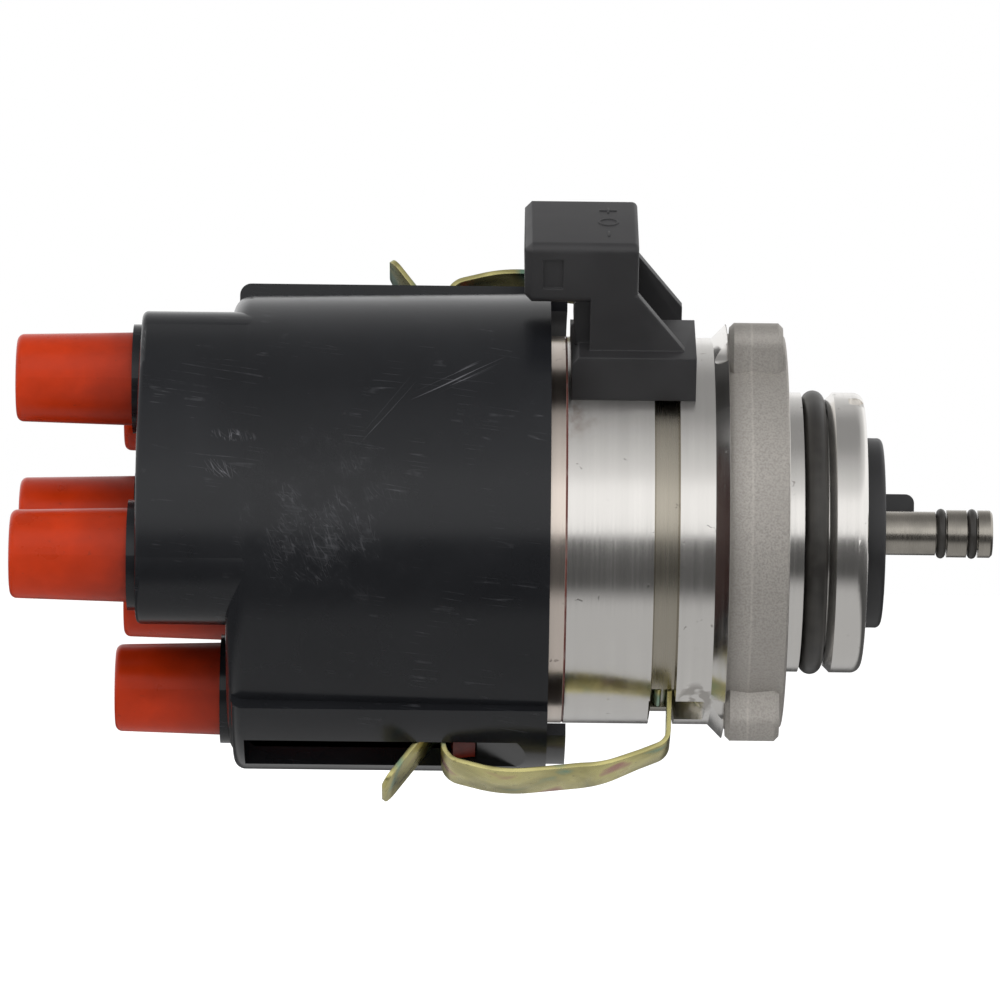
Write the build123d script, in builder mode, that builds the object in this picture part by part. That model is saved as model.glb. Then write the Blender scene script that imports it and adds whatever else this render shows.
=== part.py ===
from build123d import *
import os
from math import atan, cos, degrees, radians, sin

os.makedirs("parts", exist_ok=True)

# Ignition distributor with a five-way cap, a Hall sender and a camshaft-end drive coupling.
# Lengths are millimetres. The shaft lies along X: the drive coupling is at +X and the cap at -X.
# h is the distance from the flange seat towards the cap, so h = -X. Angles run round the shaft from
# the front (-Y) upwards (+Z).

# ---- Driving dimensions ----
running = 0.05  # radial clearance of a turning fit
slack = 0.3  # clearance between pieces that pass each other

# Shaft and bearings
shaft_r = 5.0
shaft_neck_r = 4.0
shaft_shoulder_h = 24.0
shaft_top_h = 60.0
pilot_root_r = 3.8
pilot_tip_r = 4.12
pilot_end_h = -36.6
pilot_chamfer = 0.4
pilot_ring_r = 4.35
pilot_ring_wire = 0.8
pilot_ring_h = (-33.1, -27.7)
pilot_groove_w = 2.0
bush_wall = 1.6
lower_bush_l = 12.0
upper_bush_l = 12.0
washer_r = 9.0
washer_t = 1.1
axial_play = 0.05
seal_r = 8.0
seal_l = 5.0
seal_lip_t = 1.6
seal_mouth_l = 1.2
seal_lip_h = (1.6, 2.2)
seal_recess = 0.6
upper_bush_stand = 4.0

# Drive coupling
coupling_r = 16.5
coupling_t = 3.3
coupling_h = -14.0
coupling_round = 1.0
lug_l = 6.2
lug_inner = 7.0
lug_outer = 13.2
lug_top = 6.8
lug_bottom = -3.0
lug_round = 1.6
cross_pin_r = 1.0
cross_pin_l = 30.0

# Body, spigot and flange
body_r = 33.6
mouth_h = 41.0
bowl_r = 26.0
bowl_floor_h = 12.0
step_r = 29.7
step_depth = 2.6
bearing_tower_r = 10.5
spigot_r = 24.35
spigot_end_h = -13.9
spigot_chamfer = 1.2
spigot_round = 1.8
spigot_notch_h = (-13.6, -11.0)
spigot_notch_w = 3.2
spigot_notch_depth = 0.8
spigot_notch_angle = 69.0
collar_r = 24.3
groove_h = (-7.3, -2.9)
body_ring_r = 24.7
body_ring_wire = 2.0
flange_t = 10.2
flange_round_r = 34.8
flange_draft = 0.5
flange_parting_h = 6.4
flange_edge = 0.4
flange_flare = 2.4
ear_centre_r = 37.2
ear_tip_r = 3.6
ear_root_w = 15.0
ear_recess = 1.0
ear_edge = 0.8
ear_count = 3
ear_turn = 60.0
flange_hole_r = 2.2
screw_head_clear_r = 3.5
clip_groove_h = (18.6, 23.0)
clip_groove_r = 31.4
clip_groove_draft = 0.3
paint_groove_l = 3.1
paint_groove_size = 0.2

# Cap, shield and their towers
tower_pitch_r = 28.5
first_tower = -10.2
tower_count = 5
raised_towers = (0, 1)  # the two towers that stand on the raised section with the centre one
tower_base_r = 8.1
tower_tip_r = 7.5
centre_extra_r = 0.5
low_tip_h = 115.2
high_tip_h = 132.3
tower_round = 1.2
socket_r = 4.6
terminal_stud_l = 7.0
terminal_disc_t = 1.0
cap_r = 36.0
cap_wall = 3.5
cap_roof = 7.0
cap_rim_r = 38.5
cap_rim_t = 4.0
cap_spigot_t = 1.8
cap_edge = 1.5
cap_ear_r = (40.2, 40.6)
cap_ear_nose = 1.6
post_r = 5.5
post_end_h = 66.0
shield_r = 41.0
shield_tip_r = 40.1
shield_wall = 2.0
shield_roof = 2.5
shield_skirt_h = 40.7
low_face_h = 95.5
high_face_h = 110.8
shield_round = 3.5
shield_inner_chamfer = 2.0
raised_round = 1.0
wrap_r = 11.7
tower_collar_l = 1.5
tower_collar_r = 9.4
rail_r = 42.2
rail_half = 21.0
rail_end_h = 94.6
rail_root = 4.0
rail_round = 2.0
slot_end_h = 92.5
slot_start_l = 5.7
saddle_low_r = 40.0
saddle_flat_l = 3.5
tab_l = 3.2
tab_half = 10.0

# Spring clips
clip_angles = {"lower": -68.0, "upper": 112.0}
clip_taper_l = (4.0, 14.0)
clip_t = 0.8
clip_w = 10.9
clip_eye_w = 7.8
clip_pin_r = 0.8
clip_pin_l = 12.4
clip_eye_h = 20.8
clip_eye_r = 29.7
clip_bend_r = 40.3
clip_hook_h = 58.3
clip_leg_lean = 0.3
clip_bow = ((31.0, 45.0), (48.0, 46.9))
clip_shoulder_r = 44.2
clip_hook_w = 1.8
clip_rounds = (3, 18, 25, 3.5, 0.75, 1.0)
clip_tab_round = 3.0
clip_hook_r = 37.7
clip_tab_end = (68.4, 48.9)
clip_side_gap = 0.45
pocket_floor_r = 27.7
pocket_step = 0.2
pocket_side = 0.5
pocket_slope_h = 13.2

# Connector
plug_angle = 64.5
plug_h = (26.1, 45.4)
plug_w = 20.4
plug_r = (47.3, 58.2)
plug_wall = 1.5
plug_back = 4.9
plug_chamfer = 1.2
plug_round = 1.0
plug_edge_round = 1.6
latch_h = (38.9, 42.3)
latch_r = (50.2, 55.5)
latch_depth = 0.5
plug_base_h = (16.0, 37.2)
plug_base_near = 13.2
plug_base_far = 3.0
plug_base_r = 38.8
plug_pad_r = 36.6
plug_core_w = 14.0
plug_core_h = 36.8
gusset_t = 2.0
gusset_sink = 1.5
gusset_h = (18.0, 34.2)
window_h = (25.0, 35.0)
window_w = 13.0
pin_pitch = 5.0
pin_w = 2.4
pin_t = 0.8
pin_reach = 9.5

# Trigger wheel, Hall sender and rotor
wheel_r = 17.0
wheel_t = 1.2
wheel_top_h = 30.0
wheel_skirt_l = 10.0
wheel_window = 70.0
wheel_hub_r = 7.0
wheel_rim_w = 3.0
wheel_clip_t = 1.0
wheel_clip_depth = 0.5
wheel_clip_lip = 1.6
air_gap = 0.8
plate_t = 1.5
sender_w = 16.0
sender_inner_t = 2.2
sender_outer_t = 4.4
sender_step = 1.6
screw_pitch_r = 20.0
screw_angles = (194.5, 294.5)
screw_head_r = 2.6
screw_head_t = 1.8
screw_r = 1.5
screw_l = 5.0
screw_slot = 0.8
cover_t = 1.4
cover_bore_r = 7.0
rotor_hub_r = 8.0
rotor_base_h = 42.5
rotor_skirt_r = 13.0
rotor_skirt_l = (6.0, 8.0)
rotor_arm_w = 12.0
rotor_arm_t = 3.5
rotor_tip_r = 25.5
blade_t = 1.4
blade_w = 6.0
spark_gap = 1.0
electrode_r = 2.0
electrode_end_h = 61.0
brush_r = 2.2
brush_l = 12.0
brush_end_h = 70.0
spring_l = 13.0
spring_wire_r = 0.3
spring_turns = 5


# ---- Planes and shared sections ----
def across(h, angle=0.0):
    """Plane square to the shaft at h; its x points outward at the angle, its normal to the cap."""
    outward = Vector(0, -cos(radians(angle)), sin(radians(angle)))
    return Plane(origin=(-h, 0, 0), x_dir=outward, z_dir=(-1, 0, 0))


def along(angle, shift=0.0):
    """Plane that holds the shaft axis at an angle; its x is h and its y is the radius."""
    normal = Vector(0, sin(radians(angle)), cos(radians(angle)))
    return Plane(origin=normal * shift, x_dir=(-1, 0, 0), z_dir=normal)


def facing(angle, radius):
    """Plane that looks outward at an angle and radius; its x is h."""
    outward = Vector(0, -cos(radians(angle)), sin(radians(angle)))
    return Plane(origin=outward * radius, x_dir=(-1, 0, 0), z_dir=outward)


def turned(points):
    """Half section of a turned piece; points are (h, radius)."""
    with BuildSketch(along(90)) as half:
        with BuildLine():
            Polyline(*points, close=True)
        make_face()
    return half.sketch


def tube(start_h, end_h, inner_r, outer_r):
    """Half section of a plain ring between two stations."""
    return turned([(start_h, inner_r), (start_h, outer_r), (end_h, outer_r), (end_h, inner_r)])


def ring_section(h, radius, wire_r):
    """Round section of a ring that lies round the shaft."""
    with BuildSketch(along(90)) as section:
        with Locations((h, radius)):
            Circle(wire_r)
    return section.sketch


def tower_place(index):
    """Place of an outer tower on a plane square to the shaft."""
    angle = radians(first_tower + index * 360 / tower_count)
    return (tower_pitch_r * cos(angle), tower_pitch_r * sin(angle))


def raised_outline(h, wrap, outer):
    """Outline of the raised section: a wrap round its towers, bulged out to the round wall."""
    angles = [first_tower + index * 360 / tower_count for index in raised_towers]
    with BuildSketch(across(h)) as outline:
        for index in raised_towers:
            with BuildLine(mode=Mode.PRIVATE) as rims:
                CenterArc(tower_place(index), wrap, 0, 360)
                CenterArc((0, 0), wrap, 0, 360)
            make_hull(rims.edges())
        with BuildLine():
            CenterArc((0, 0), outer, angles[0], angles[1] - angles[0])
            Line((0, 0), (outer * cos(radians(angles[0])), outer * sin(radians(angles[0]))))
            Line((0, 0), (outer * cos(radians(angles[1])), outer * sin(radians(angles[1]))))
        make_face()
    return outline.sketch


def sector(h, inner, outer, middle, half):
    """Ring sector about the shaft, square to it."""
    with BuildSketch(across(h)) as piece:
        with BuildLine():
            big = CenterArc((0, 0), outer, middle - half, 2 * half)
            small = CenterArc((0, 0), inner, middle - half, 2 * half)
            Line(big @ 0, small @ 0)
            Line(big @ 1, small @ 1)
        make_face()
    return piece.sketch


# ---- Sizes that follow from the driving ones ----
bush_r = shaft_r + bush_wall
step_h = mouth_h - step_depth
paint_groove_h = mouth_h - paint_groove_l
washer_seat_h = coupling_h + 2 * axial_play + washer_t
upper_bush_end_h = bowl_floor_h + upper_bush_stand
tower_top_h = upper_bush_end_h + seal_l + seal_recess
groove_floor_r = body_ring_r - 2 * body_ring_wire
low_top_h = low_face_h - shield_roof
high_top_h = high_face_h - shield_roof
cavity_top_h = low_top_h - cap_roof
shield_inner_r = shield_r - shield_wall
slot_half = clip_w / 2 + clip_side_gap
slot_start_h = clip_hook_h - slot_start_l
clip_eye_mid = clip_pin_r + running + clip_t / 2
blade_top_h = shaft_top_h + rotor_arm_t + blade_t
brush_start_h = blade_top_h + axial_play
spring_start_h = brush_start_h + brush_l
centre_end_h = spring_start_h + spring_l
wheel_bottom_h = wheel_top_h - wheel_skirt_l
plate_top_h = bowl_floor_h + plate_t
pin_r = (plug_r[0] + plug_r[1]) / 2
pin_leg_h = plug_h[0] + plug_back / 2


def tower_levels(index):
    """Station of the base and of the tip of an outer tower."""
    if index in raised_towers:
        return high_top_h, high_tip_h
    return low_top_h, low_tip_h


# ---- Shaft train ----
with BuildPart() as shaft:
    outline = [(pilot_end_h, 0), (pilot_end_h, pilot_tip_r - pilot_chamfer)]
    outline += [(pilot_end_h + pilot_chamfer, pilot_tip_r)]
    pilot_step_h = pilot_ring_h[1] + pilot_groove_w / 2
    outline += [(pilot_step_h, pilot_tip_r), (pilot_step_h, pilot_root_r)]
    outline += [(coupling_h - coupling_t, pilot_root_r), (coupling_h - coupling_t, shaft_r)]
    outline += [(shaft_shoulder_h, shaft_r), (shaft_shoulder_h, shaft_neck_r)]
    outline += [(shaft_top_h, shaft_neck_r), (shaft_top_h, 0)]
    revolve(turned(outline), axis=Axis.X)
    for h in pilot_ring_h:
        floor_r = pilot_ring_r - 2 * pilot_ring_wire
        near, far = h - pilot_groove_w / 2, h + pilot_groove_w / 2
        revolve(tube(near, far, floor_r, shaft_r), axis=Axis.X, mode=Mode.SUBTRACT)
    revolve(
        tube(wheel_top_h, wheel_top_h + wheel_clip_t, shaft_neck_r - wheel_clip_depth, shaft_r),
        axis=Axis.X,
        mode=Mode.SUBTRACT,
    )
    with BuildSketch(Plane.XY):
        with Locations((coupling_t / 2 - coupling_h, 0)):
            Circle(cross_pin_r)
    extrude(amount=shaft_r, both=True, mode=Mode.SUBTRACT)
shaft.part.label = "shaft"
export_step(shaft.part, "parts/shaft.step")

for number, h in enumerate(pilot_ring_h, start=1):
    with BuildPart() as pilot_ring:
        revolve(ring_section(h, pilot_ring_r - pilot_ring_wire, pilot_ring_wire), axis=Axis.X)
    pilot_ring.part.label = f"pilot_ring_{number}"
    export_step(pilot_ring.part, f"parts/pilot_ring_{number}.step")

with BuildPart() as coupling:
    revolve(tube(coupling_h - coupling_t, coupling_h, shaft_r, coupling_r), axis=Axis.X)
    rim = coupling.edges().filter_by(GeomType.CIRCLE).group_by(SortBy.RADIUS)[-1]
    fillet(rim.sort_by(Axis.X)[-1], coupling_round)
    with BuildSketch(across(coupling_h - coupling_t)):
        with Locations(((-lug_inner - lug_outer) / 2, (lug_top + lug_bottom) / 2)):
            Rectangle(lug_outer - lug_inner, lug_top - lug_bottom)
    extrude(amount=-lug_l)
    lug_end = coupling.faces().sort_by(Axis.X)[-1]
    fillet(lug_end.edges().sort_by(Axis.Z)[-1], lug_round)
    with BuildSketch(Plane.XY):
        with Locations((coupling_t / 2 - coupling_h, 0)):
            Circle(cross_pin_r)
    extrude(amount=coupling_r, both=True, mode=Mode.SUBTRACT)
coupling.part.label = "drive_coupling"
export_step(coupling.part, "parts/drive_coupling.step")

with BuildPart() as cross_pin:
    with BuildSketch(Plane.XY.offset(-cross_pin_l / 2)):
        with Locations((coupling_t / 2 - coupling_h, 0)):
            Circle(cross_pin_r)
    extrude(amount=cross_pin_l)
cross_pin.part.label = "cross_pin"
export_step(cross_pin.part, "parts/cross_pin.step")

with BuildPart() as lower_washer:
    start_h = coupling_h + axial_play
    revolve(tube(start_h, start_h + washer_t, shaft_r + running, washer_r), axis=Axis.X)
lower_washer.part.label = "lower_washer"
export_step(lower_washer.part, "parts/lower_washer.step")

with BuildPart() as upper_washer:
    start_h = tower_top_h + axial_play
    revolve(tube(start_h, start_h + washer_t, shaft_r, washer_r), axis=Axis.X)
upper_washer.part.label = "upper_washer"
export_step(upper_washer.part, "parts/upper_washer.step")

with BuildPart() as lower_bush:
    end_h = washer_seat_h + lower_bush_l
    revolve(tube(washer_seat_h, end_h, shaft_r + running, bush_r), axis=Axis.X)
lower_bush.part.label = "lower_bush"
export_step(lower_bush.part, "parts/lower_bush.step")

with BuildPart() as upper_bush:
    start_h = upper_bush_end_h - upper_bush_l
    revolve(tube(start_h, upper_bush_end_h, shaft_r + running, bush_r), axis=Axis.X)
upper_bush.part.label = "upper_bush"
export_step(upper_bush.part, "parts/upper_bush.step")

with BuildPart() as shaft_seal:
    start_h, end_h = upper_bush_end_h, upper_bush_end_h + seal_l
    lip_r = shaft_r + running
    mouth_r = lip_r + seal_lip_t
    outline = [(start_h, mouth_r), (start_h, seal_r), (end_h, seal_r), (end_h, mouth_r)]
    outline += [(end_h - seal_mouth_l, mouth_r), (end_h - seal_lip_h[1], lip_r)]
    outline += [(start_h + seal_lip_h[0], lip_r)]
    revolve(turned(outline), axis=Axis.X)
shaft_seal.part.label = "shaft_seal"
export_step(shaft_seal.part, "parts/shaft_seal.step")


# ---- Body ----
def clip_pocket(angle):
    """Pocket across the clip groove that lets a clip swing out towards the flange."""
    with BuildPart() as pocket:
        with BuildSketch(along(angle, -(clip_eye_w / 2 + pocket_side))):
            with BuildLine():
                Polyline(
                    (clip_groove_h[0] + pocket_step, pocket_floor_r),
                    (clip_groove_h[1] + pocket_step, pocket_floor_r),
                    (clip_groove_h[1] + pocket_step, body_r + slack),
                    (pocket_slope_h, body_r + slack),
                    close=True,
                )
            make_face()
        extrude(amount=clip_eye_w + 2 * pocket_side)
    return pocket.part


def clip_pin_section(angle):
    """Plane and length of a clip's hinge pin, square to the clip's own plane."""
    with BuildSketch(along(angle, -clip_pin_l / 2)) as section:
        with Locations((clip_eye_h, clip_eye_r)):
            Circle(clip_pin_r)
    return section.sketch


with BuildPart() as housing:
    outline = [(spigot_end_h, bush_r), (spigot_end_h, spigot_r)]
    outline += [(groove_h[0] - spigot_chamfer, spigot_r), (groove_h[0], spigot_r - spigot_chamfer)]
    outline += [(groove_h[0], groove_floor_r)]
    outline += [(groove_h[1], groove_floor_r), (groove_h[1], collar_r), (0, collar_r)]
    outline += [(0, flange_round_r - flange_draft - flange_edge)]
    outline += [(flange_edge, flange_round_r - flange_draft), (flange_parting_h, flange_round_r)]
    outline += [(flange_t, flange_round_r - flange_draft), (flange_t, body_r + flange_flare)]
    outline += [(flange_t + flange_flare, body_r), (clip_groove_h[0], body_r)]
    outline += [(clip_groove_h[0] + clip_groove_draft, clip_groove_r)]
    outline += [(clip_groove_h[1] - clip_groove_draft, clip_groove_r), (clip_groove_h[1], body_r)]
    outline += [(paint_groove_h - paint_groove_size, body_r), (paint_groove_h, body_r - paint_groove_size)]
    outline += [(paint_groove_h + paint_groove_size, body_r), (mouth_h, body_r), (mouth_h, step_r)]
    outline += [(step_h, step_r), (step_h, bowl_r), (bowl_floor_h, bowl_r)]
    outline += [(bowl_floor_h, bearing_tower_r), (tower_top_h, bearing_tower_r)]
    outline += [(tower_top_h, seal_r), (upper_bush_end_h, seal_r), (upper_bush_end_h, bush_r)]
    revolve(turned(outline), axis=Axis.X)
    revolve(
        tube(spigot_end_h, washer_seat_h, shaft_r, washer_r + slack),
        axis=Axis.X,
        mode=Mode.SUBTRACT,
    )
    end_ring = housing.edges().filter_by(GeomType.CIRCLE).sort_by(Axis.X)[-4:]
    fillet(end_ring.sort_by(SortBy.RADIUS)[-1], spigot_round)
    with BuildSketch(facing(spigot_notch_angle, spigot_r - spigot_notch_depth)):
        with Locations((sum(spigot_notch_h) / 2, 0)):
            RectangleRounded(
                spigot_notch_h[1] - spigot_notch_h[0], spigot_notch_w, spigot_notch_depth
            )
    extrude(amount=2 * spigot_notch_depth, mode=Mode.SUBTRACT)
    for ear in range(ear_count):
        turn = ear_turn + ear * 360 / ear_count
        with BuildPart(mode=Mode.PRIVATE) as flange_ear:
            with BuildSketch(across(ear_recess, turn)):
                with BuildLine(mode=Mode.PRIVATE) as ear_edges:
                    CenterArc((ear_centre_r, 0), ear_tip_r, 0, 360)
                    Line((bowl_r + slack, -ear_root_w / 2), (bowl_r + slack, ear_root_w / 2))
                make_hull(ear_edges.edges())
            extrude(amount=flange_t - ear_recess)
            chamfer(flange_ear.faces().sort_by(Axis.X)[-1].edges(), ear_edge)
            chamfer(flange_ear.faces().sort_by(Axis.X)[0].edges(), ear_edge)
        add(flange_ear.part)
    with BuildSketch(across(0)):
        with PolarLocations(ear_centre_r, ear_count, start_angle=ear_turn):
            Circle(flange_hole_r)
    extrude(amount=flange_t, mode=Mode.SUBTRACT)
    with BuildSketch(across(flange_t)):
        with PolarLocations(ear_centre_r, ear_count, start_angle=ear_turn):
            Circle(screw_head_clear_r)
    extrude(amount=flange_flare + slack, mode=Mode.SUBTRACT)
    for angle in clip_angles.values():
        add(clip_pocket(angle), mode=Mode.SUBTRACT)
        extrude(clip_pin_section(angle), amount=clip_pin_l, mode=Mode.SUBTRACT)
    with BuildSketch(facing(plug_angle, bearing_tower_r + slack)):
        with Locations(((window_h[0] + window_h[1]) / 2, 0)):
            Rectangle(window_h[1] - window_h[0], window_w)
    extrude(amount=body_r, mode=Mode.SUBTRACT)
    for angle in screw_angles:
        with BuildSketch(across(bowl_floor_h - screw_l, angle)):
            with Locations((screw_pitch_r, 0)):
                Circle(screw_r)
        extrude(amount=screw_l, mode=Mode.SUBTRACT)
housing.part.label = "housing"
export_step(housing.part, "parts/housing.step")

with BuildPart() as body_ring:
    revolve(
        ring_section(sum(groove_h) / 2, body_ring_r - body_ring_wire, body_ring_wire),
        axis=Axis.X,
    )
body_ring.part.label = "body_ring"
export_step(body_ring.part, "parts/body_ring.step")


# ---- Spring clips and their pins ----
for name, angle in clip_angles.items():
    with BuildPart() as clip_pin:
        extrude(clip_pin_section(angle), amount=clip_pin_l)
    clip_pin.part.label = f"{name}_clip_pin"
    export_step(clip_pin.part, f"parts/{name}_clip_pin.step")

    with BuildPart() as clip:
        leg_h = clip_eye_h - clip_eye_mid
        with BuildSketch(along(angle, -clip_w / 2)):
            with BuildLine(mode=Mode.PRIVATE) as path:
                CenterArc((clip_eye_h, clip_eye_r), clip_eye_mid, 60, -240)
                FilletPolyline(
                    (leg_h, clip_eye_r),
                    (leg_h + clip_leg_lean, clip_bend_r),
                    *clip_bow,
                    (clip_hook_h, clip_shoulder_r),
                    (clip_hook_h + clip_leg_lean / 2, clip_hook_r),
                    (clip_hook_h + clip_hook_w, clip_hook_r),
                    clip_tab_end,
                    radius=clip_rounds,
                )
            add(path.wires()[0].offset_2d(clip_t / 2))
            make_face()
        extrude(amount=clip_w)
        for side in (-1, 1):
            with BuildSketch(facing(angle, clip_eye_r - clip_taper_l[0])):
                with BuildLine():
                    Polyline(
                        (clip_eye_h - clip_taper_l[0], side * clip_eye_w / 2),
                        (clip_eye_h + clip_taper_l[0], side * clip_eye_w / 2),
                        (clip_eye_h + clip_taper_l[1], side * clip_w / 2),
                        (clip_eye_h + clip_taper_l[1], side * clip_w),
                        (clip_eye_h - clip_taper_l[0], side * clip_w),
                        close=True,
                    )
                make_face()
            extrude(amount=clip_bend_r, mode=Mode.SUBTRACT)
        side_on = along(angle)
        tab_root = side_on.from_local_coords(Vector(clip_hook_h + clip_hook_w, clip_hook_r, 0))
        tab_tip = side_on.from_local_coords(Vector(*clip_tab_end, 0))
        reach = tab_tip - tab_root
        with BuildSketch(Plane(origin=tab_tip, x_dir=reach, z_dir=reach.cross(side_on.z_dir))):
            Rectangle(clip_w, 2 * clip_w)
            with Locations((clip_t / 2 - clip_w, 0)):
                RectangleRounded(2 * clip_w, clip_w, clip_tab_round, mode=Mode.SUBTRACT)
        extrude(amount=clip_t, both=True, mode=Mode.SUBTRACT)
    clip.part.label = f"{name}_clip"
    export_step(clip.part, f"parts/{name}_clip.step")


# ---- Connector ----
def pin_outline(shift):
    """Bent contact: a leg through the stem and a blade in the socket, in the connector's own plane."""
    leg_near, leg_far = pin_leg_h - pin_t / 2, pin_leg_h + pin_t / 2
    with BuildSketch(along(plug_angle, shift - pin_w / 2)) as outline:
        with BuildLine():
            Polyline(
                (leg_near, bowl_r + slack),
                (leg_far, bowl_r + slack),
                (leg_far, pin_r - pin_t / 2),
                (plug_h[0] + plug_back + pin_reach, pin_r - pin_t / 2),
                (plug_h[0] + plug_back + pin_reach, pin_r + pin_t / 2),
                (leg_near, pin_r + pin_t / 2),
                close=True,
            )
        make_face()
    return outline.sketch


def plug_box():
    """Outer block of the plug, chamfered round its mouth, rounded at its back and long edges."""
    with BuildPart() as box:
        with BuildSketch(across(plug_h[0], plug_angle)):
            with Locations((pin_r, 0)):
                Rectangle(plug_r[1] - plug_r[0], plug_w)
        extrude(amount=plug_h[1] - plug_h[0])
        fillet(box.edges().filter_by(Axis.X), plug_edge_round)
        fillet(box.faces().sort_by(Axis.X)[-1].edges(), plug_round)
        chamfer(box.faces().sort_by(Axis.X)[0].edges(), plug_chamfer)
        with BuildSketch(along(plug_angle, -plug_w / 2 - slack)):
            with Locations((sum(latch_h) / 2, sum(latch_r) / 2)):
                Rectangle(latch_h[1] - latch_h[0], latch_r[1] - latch_r[0])
        extrude(amount=latch_depth + slack, mode=Mode.SUBTRACT)
    return box.part


with BuildPart() as connector:
    with BuildSketch(along(plug_angle, -plug_base_near)):
        with BuildLine():
            Polyline(
                (plug_base_h[0], bowl_r),
                (plug_base_h[0], plug_base_r),
                (plug_base_h[1] - plug_chamfer, plug_base_r),
                (plug_base_h[1], plug_base_r - plug_chamfer),
                (plug_base_h[1], bowl_r),
                close=True,
            )
        make_face()
    extrude(amount=plug_base_near + plug_base_far)
    pad_half = degrees(plug_base_near / plug_pad_r)
    extrude(
        sector(plug_base_h[0], bowl_r, plug_pad_r, plug_angle + pad_half / 2, pad_half / 2),
        amount=plug_base_h[1] - plug_base_h[0],
    )
    revolve(tube(0, mouth_h, 0, body_r), axis=Axis.X, mode=Mode.SUBTRACT)
    with BuildSketch(along(plug_angle, -plug_core_w / 2)):
        with BuildLine():
            Polyline(
                (plug_h[0], plug_base_r - slack),
                (plug_core_h, plug_base_r - slack),
                (plug_core_h, plug_r[0] - plug_chamfer),
                (plug_core_h - plug_chamfer, plug_r[0] + slack),
                (plug_h[0], plug_r[0] + slack),
                close=True,
            )
        make_face()
    extrude(amount=plug_core_w)
    for shift in (-plug_w / 2, plug_w / 2 - gusset_t):
        with BuildSketch(along(plug_angle, shift)):
            with BuildLine():
                Polyline(
                    (gusset_h[0], plug_pad_r - gusset_sink),
                    (gusset_h[0], plug_base_r),
                    (plug_h[0], plug_r[0] + plug_edge_round),
                    (gusset_h[1], plug_r[0] + plug_edge_round),
                    (gusset_h[1], plug_pad_r - gusset_sink),
                    close=True,
                )
            make_face()
        extrude(amount=gusset_t)
    add(plug_box())
    with BuildSketch(across(plug_h[0] + plug_back, plug_angle)):
        with Locations((pin_r, 0)):
            Rectangle(plug_r[1] - plug_r[0] - 2 * plug_wall, plug_w - 2 * plug_wall)
    extrude(amount=plug_h[1], mode=Mode.SUBTRACT)
    with BuildSketch(facing(plug_angle, bowl_r)):
        with Locations(((window_h[0] + window_h[1]) / 2, 0)):
            Rectangle(window_h[1] - window_h[0] - slack, window_w - slack)
    extrude(amount=plug_pad_r - bowl_r)
    for position in (-1, 0, 1):
        extrude(pin_outline(position * pin_pitch), amount=pin_w, mode=Mode.SUBTRACT)
connector.part.label = "connector"
export_step(connector.part, "parts/connector.step")

for number, position in enumerate((-1, 0, 1), start=1):
    with BuildPart() as contact_pin:
        extrude(pin_outline(position * pin_pitch), amount=pin_w)
    contact_pin.part.label = f"contact_pin_{number}"
    export_step(contact_pin.part, f"parts/contact_pin_{number}.step")


# ---- Hall sender and trigger wheel ----
with BuildPart() as base_plate:
    revolve(tube(bowl_floor_h, plate_top_h, bearing_tower_r + slack, bowl_r - slack), axis=Axis.X)
    for angle in screw_angles:
        with BuildSketch(across(bowl_floor_h, angle)):
            with Locations((screw_pitch_r, 0)):
                Circle(screw_r)
        extrude(amount=plate_t, mode=Mode.SUBTRACT)
base_plate.part.label = "base_plate"
export_step(base_plate.part, "parts/base_plate.step")

for number, angle in enumerate(screw_angles, start=1):
    with BuildPart() as plate_screw:
        with BuildSketch(across(bowl_floor_h - screw_l, angle)):
            with Locations((screw_pitch_r, 0)):
                Circle(screw_r)
        extrude(amount=screw_l + plate_t)
        with BuildSketch(across(plate_top_h, angle)):
            with Locations((screw_pitch_r, 0)):
                Circle(screw_head_r)
        extrude(amount=screw_head_t)
        with BuildSketch(across(plate_top_h + screw_head_t, angle)):
            with Locations((screw_pitch_r, 0)):
                Rectangle(2 * screw_head_r, screw_slot)
        extrude(amount=-screw_slot, mode=Mode.SUBTRACT)
    plate_screw.part.label = f"plate_screw_{number}"
    export_step(plate_screw.part, f"parts/plate_screw_{number}.step")

with BuildPart() as hall_sender:
    inner_r = wheel_r - wheel_t - air_gap
    outer_r = wheel_r + air_gap
    with BuildSketch(along(plug_angle, -sender_w / 2)):
        with BuildLine():
            Polyline(
                (plate_top_h, inner_r - sender_inner_t),
                (window_h[1], inner_r - sender_inner_t),
                (window_h[1], outer_r + sender_outer_t),
                (window_h[0], outer_r + sender_outer_t + sender_step),
                (plate_top_h, outer_r + sender_outer_t + sender_step),
                close=True,
            )
        make_face()
    extrude(amount=sender_w)
    revolve(
        tube(wheel_bottom_h - air_gap, window_h[1] + slack, inner_r, outer_r),
        axis=Axis.X,
        mode=Mode.SUBTRACT,
    )
    revolve(
        tube(wheel_top_h - wheel_t - air_gap, window_h[1] + slack, 0, outer_r),
        axis=Axis.X,
        mode=Mode.SUBTRACT,
    )
hall_sender.part.label = "hall_sender"
export_step(hall_sender.part, "parts/hall_sender.step")

with BuildPart() as trigger_wheel:
    outline = [(shaft_shoulder_h, shaft_neck_r), (shaft_shoulder_h, wheel_hub_r)]
    outline += [(wheel_top_h - wheel_t, wheel_hub_r), (wheel_top_h - wheel_t, wheel_r - wheel_t)]
    outline += [(wheel_bottom_h, wheel_r - wheel_t), (wheel_bottom_h, wheel_r)]
    outline += [(wheel_top_h, wheel_r), (wheel_top_h, shaft_neck_r)]
    revolve(turned(outline), axis=Axis.X)
    window = sector(wheel_bottom_h, wheel_r - wheel_rim_w, wheel_r + slack, plug_angle + 180, wheel_window / 2)
    extrude(window, amount=wheel_skirt_l - wheel_t, mode=Mode.SUBTRACT)
trigger_wheel.part.label = "trigger_wheel"
export_step(trigger_wheel.part, "parts/trigger_wheel.step")

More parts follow.
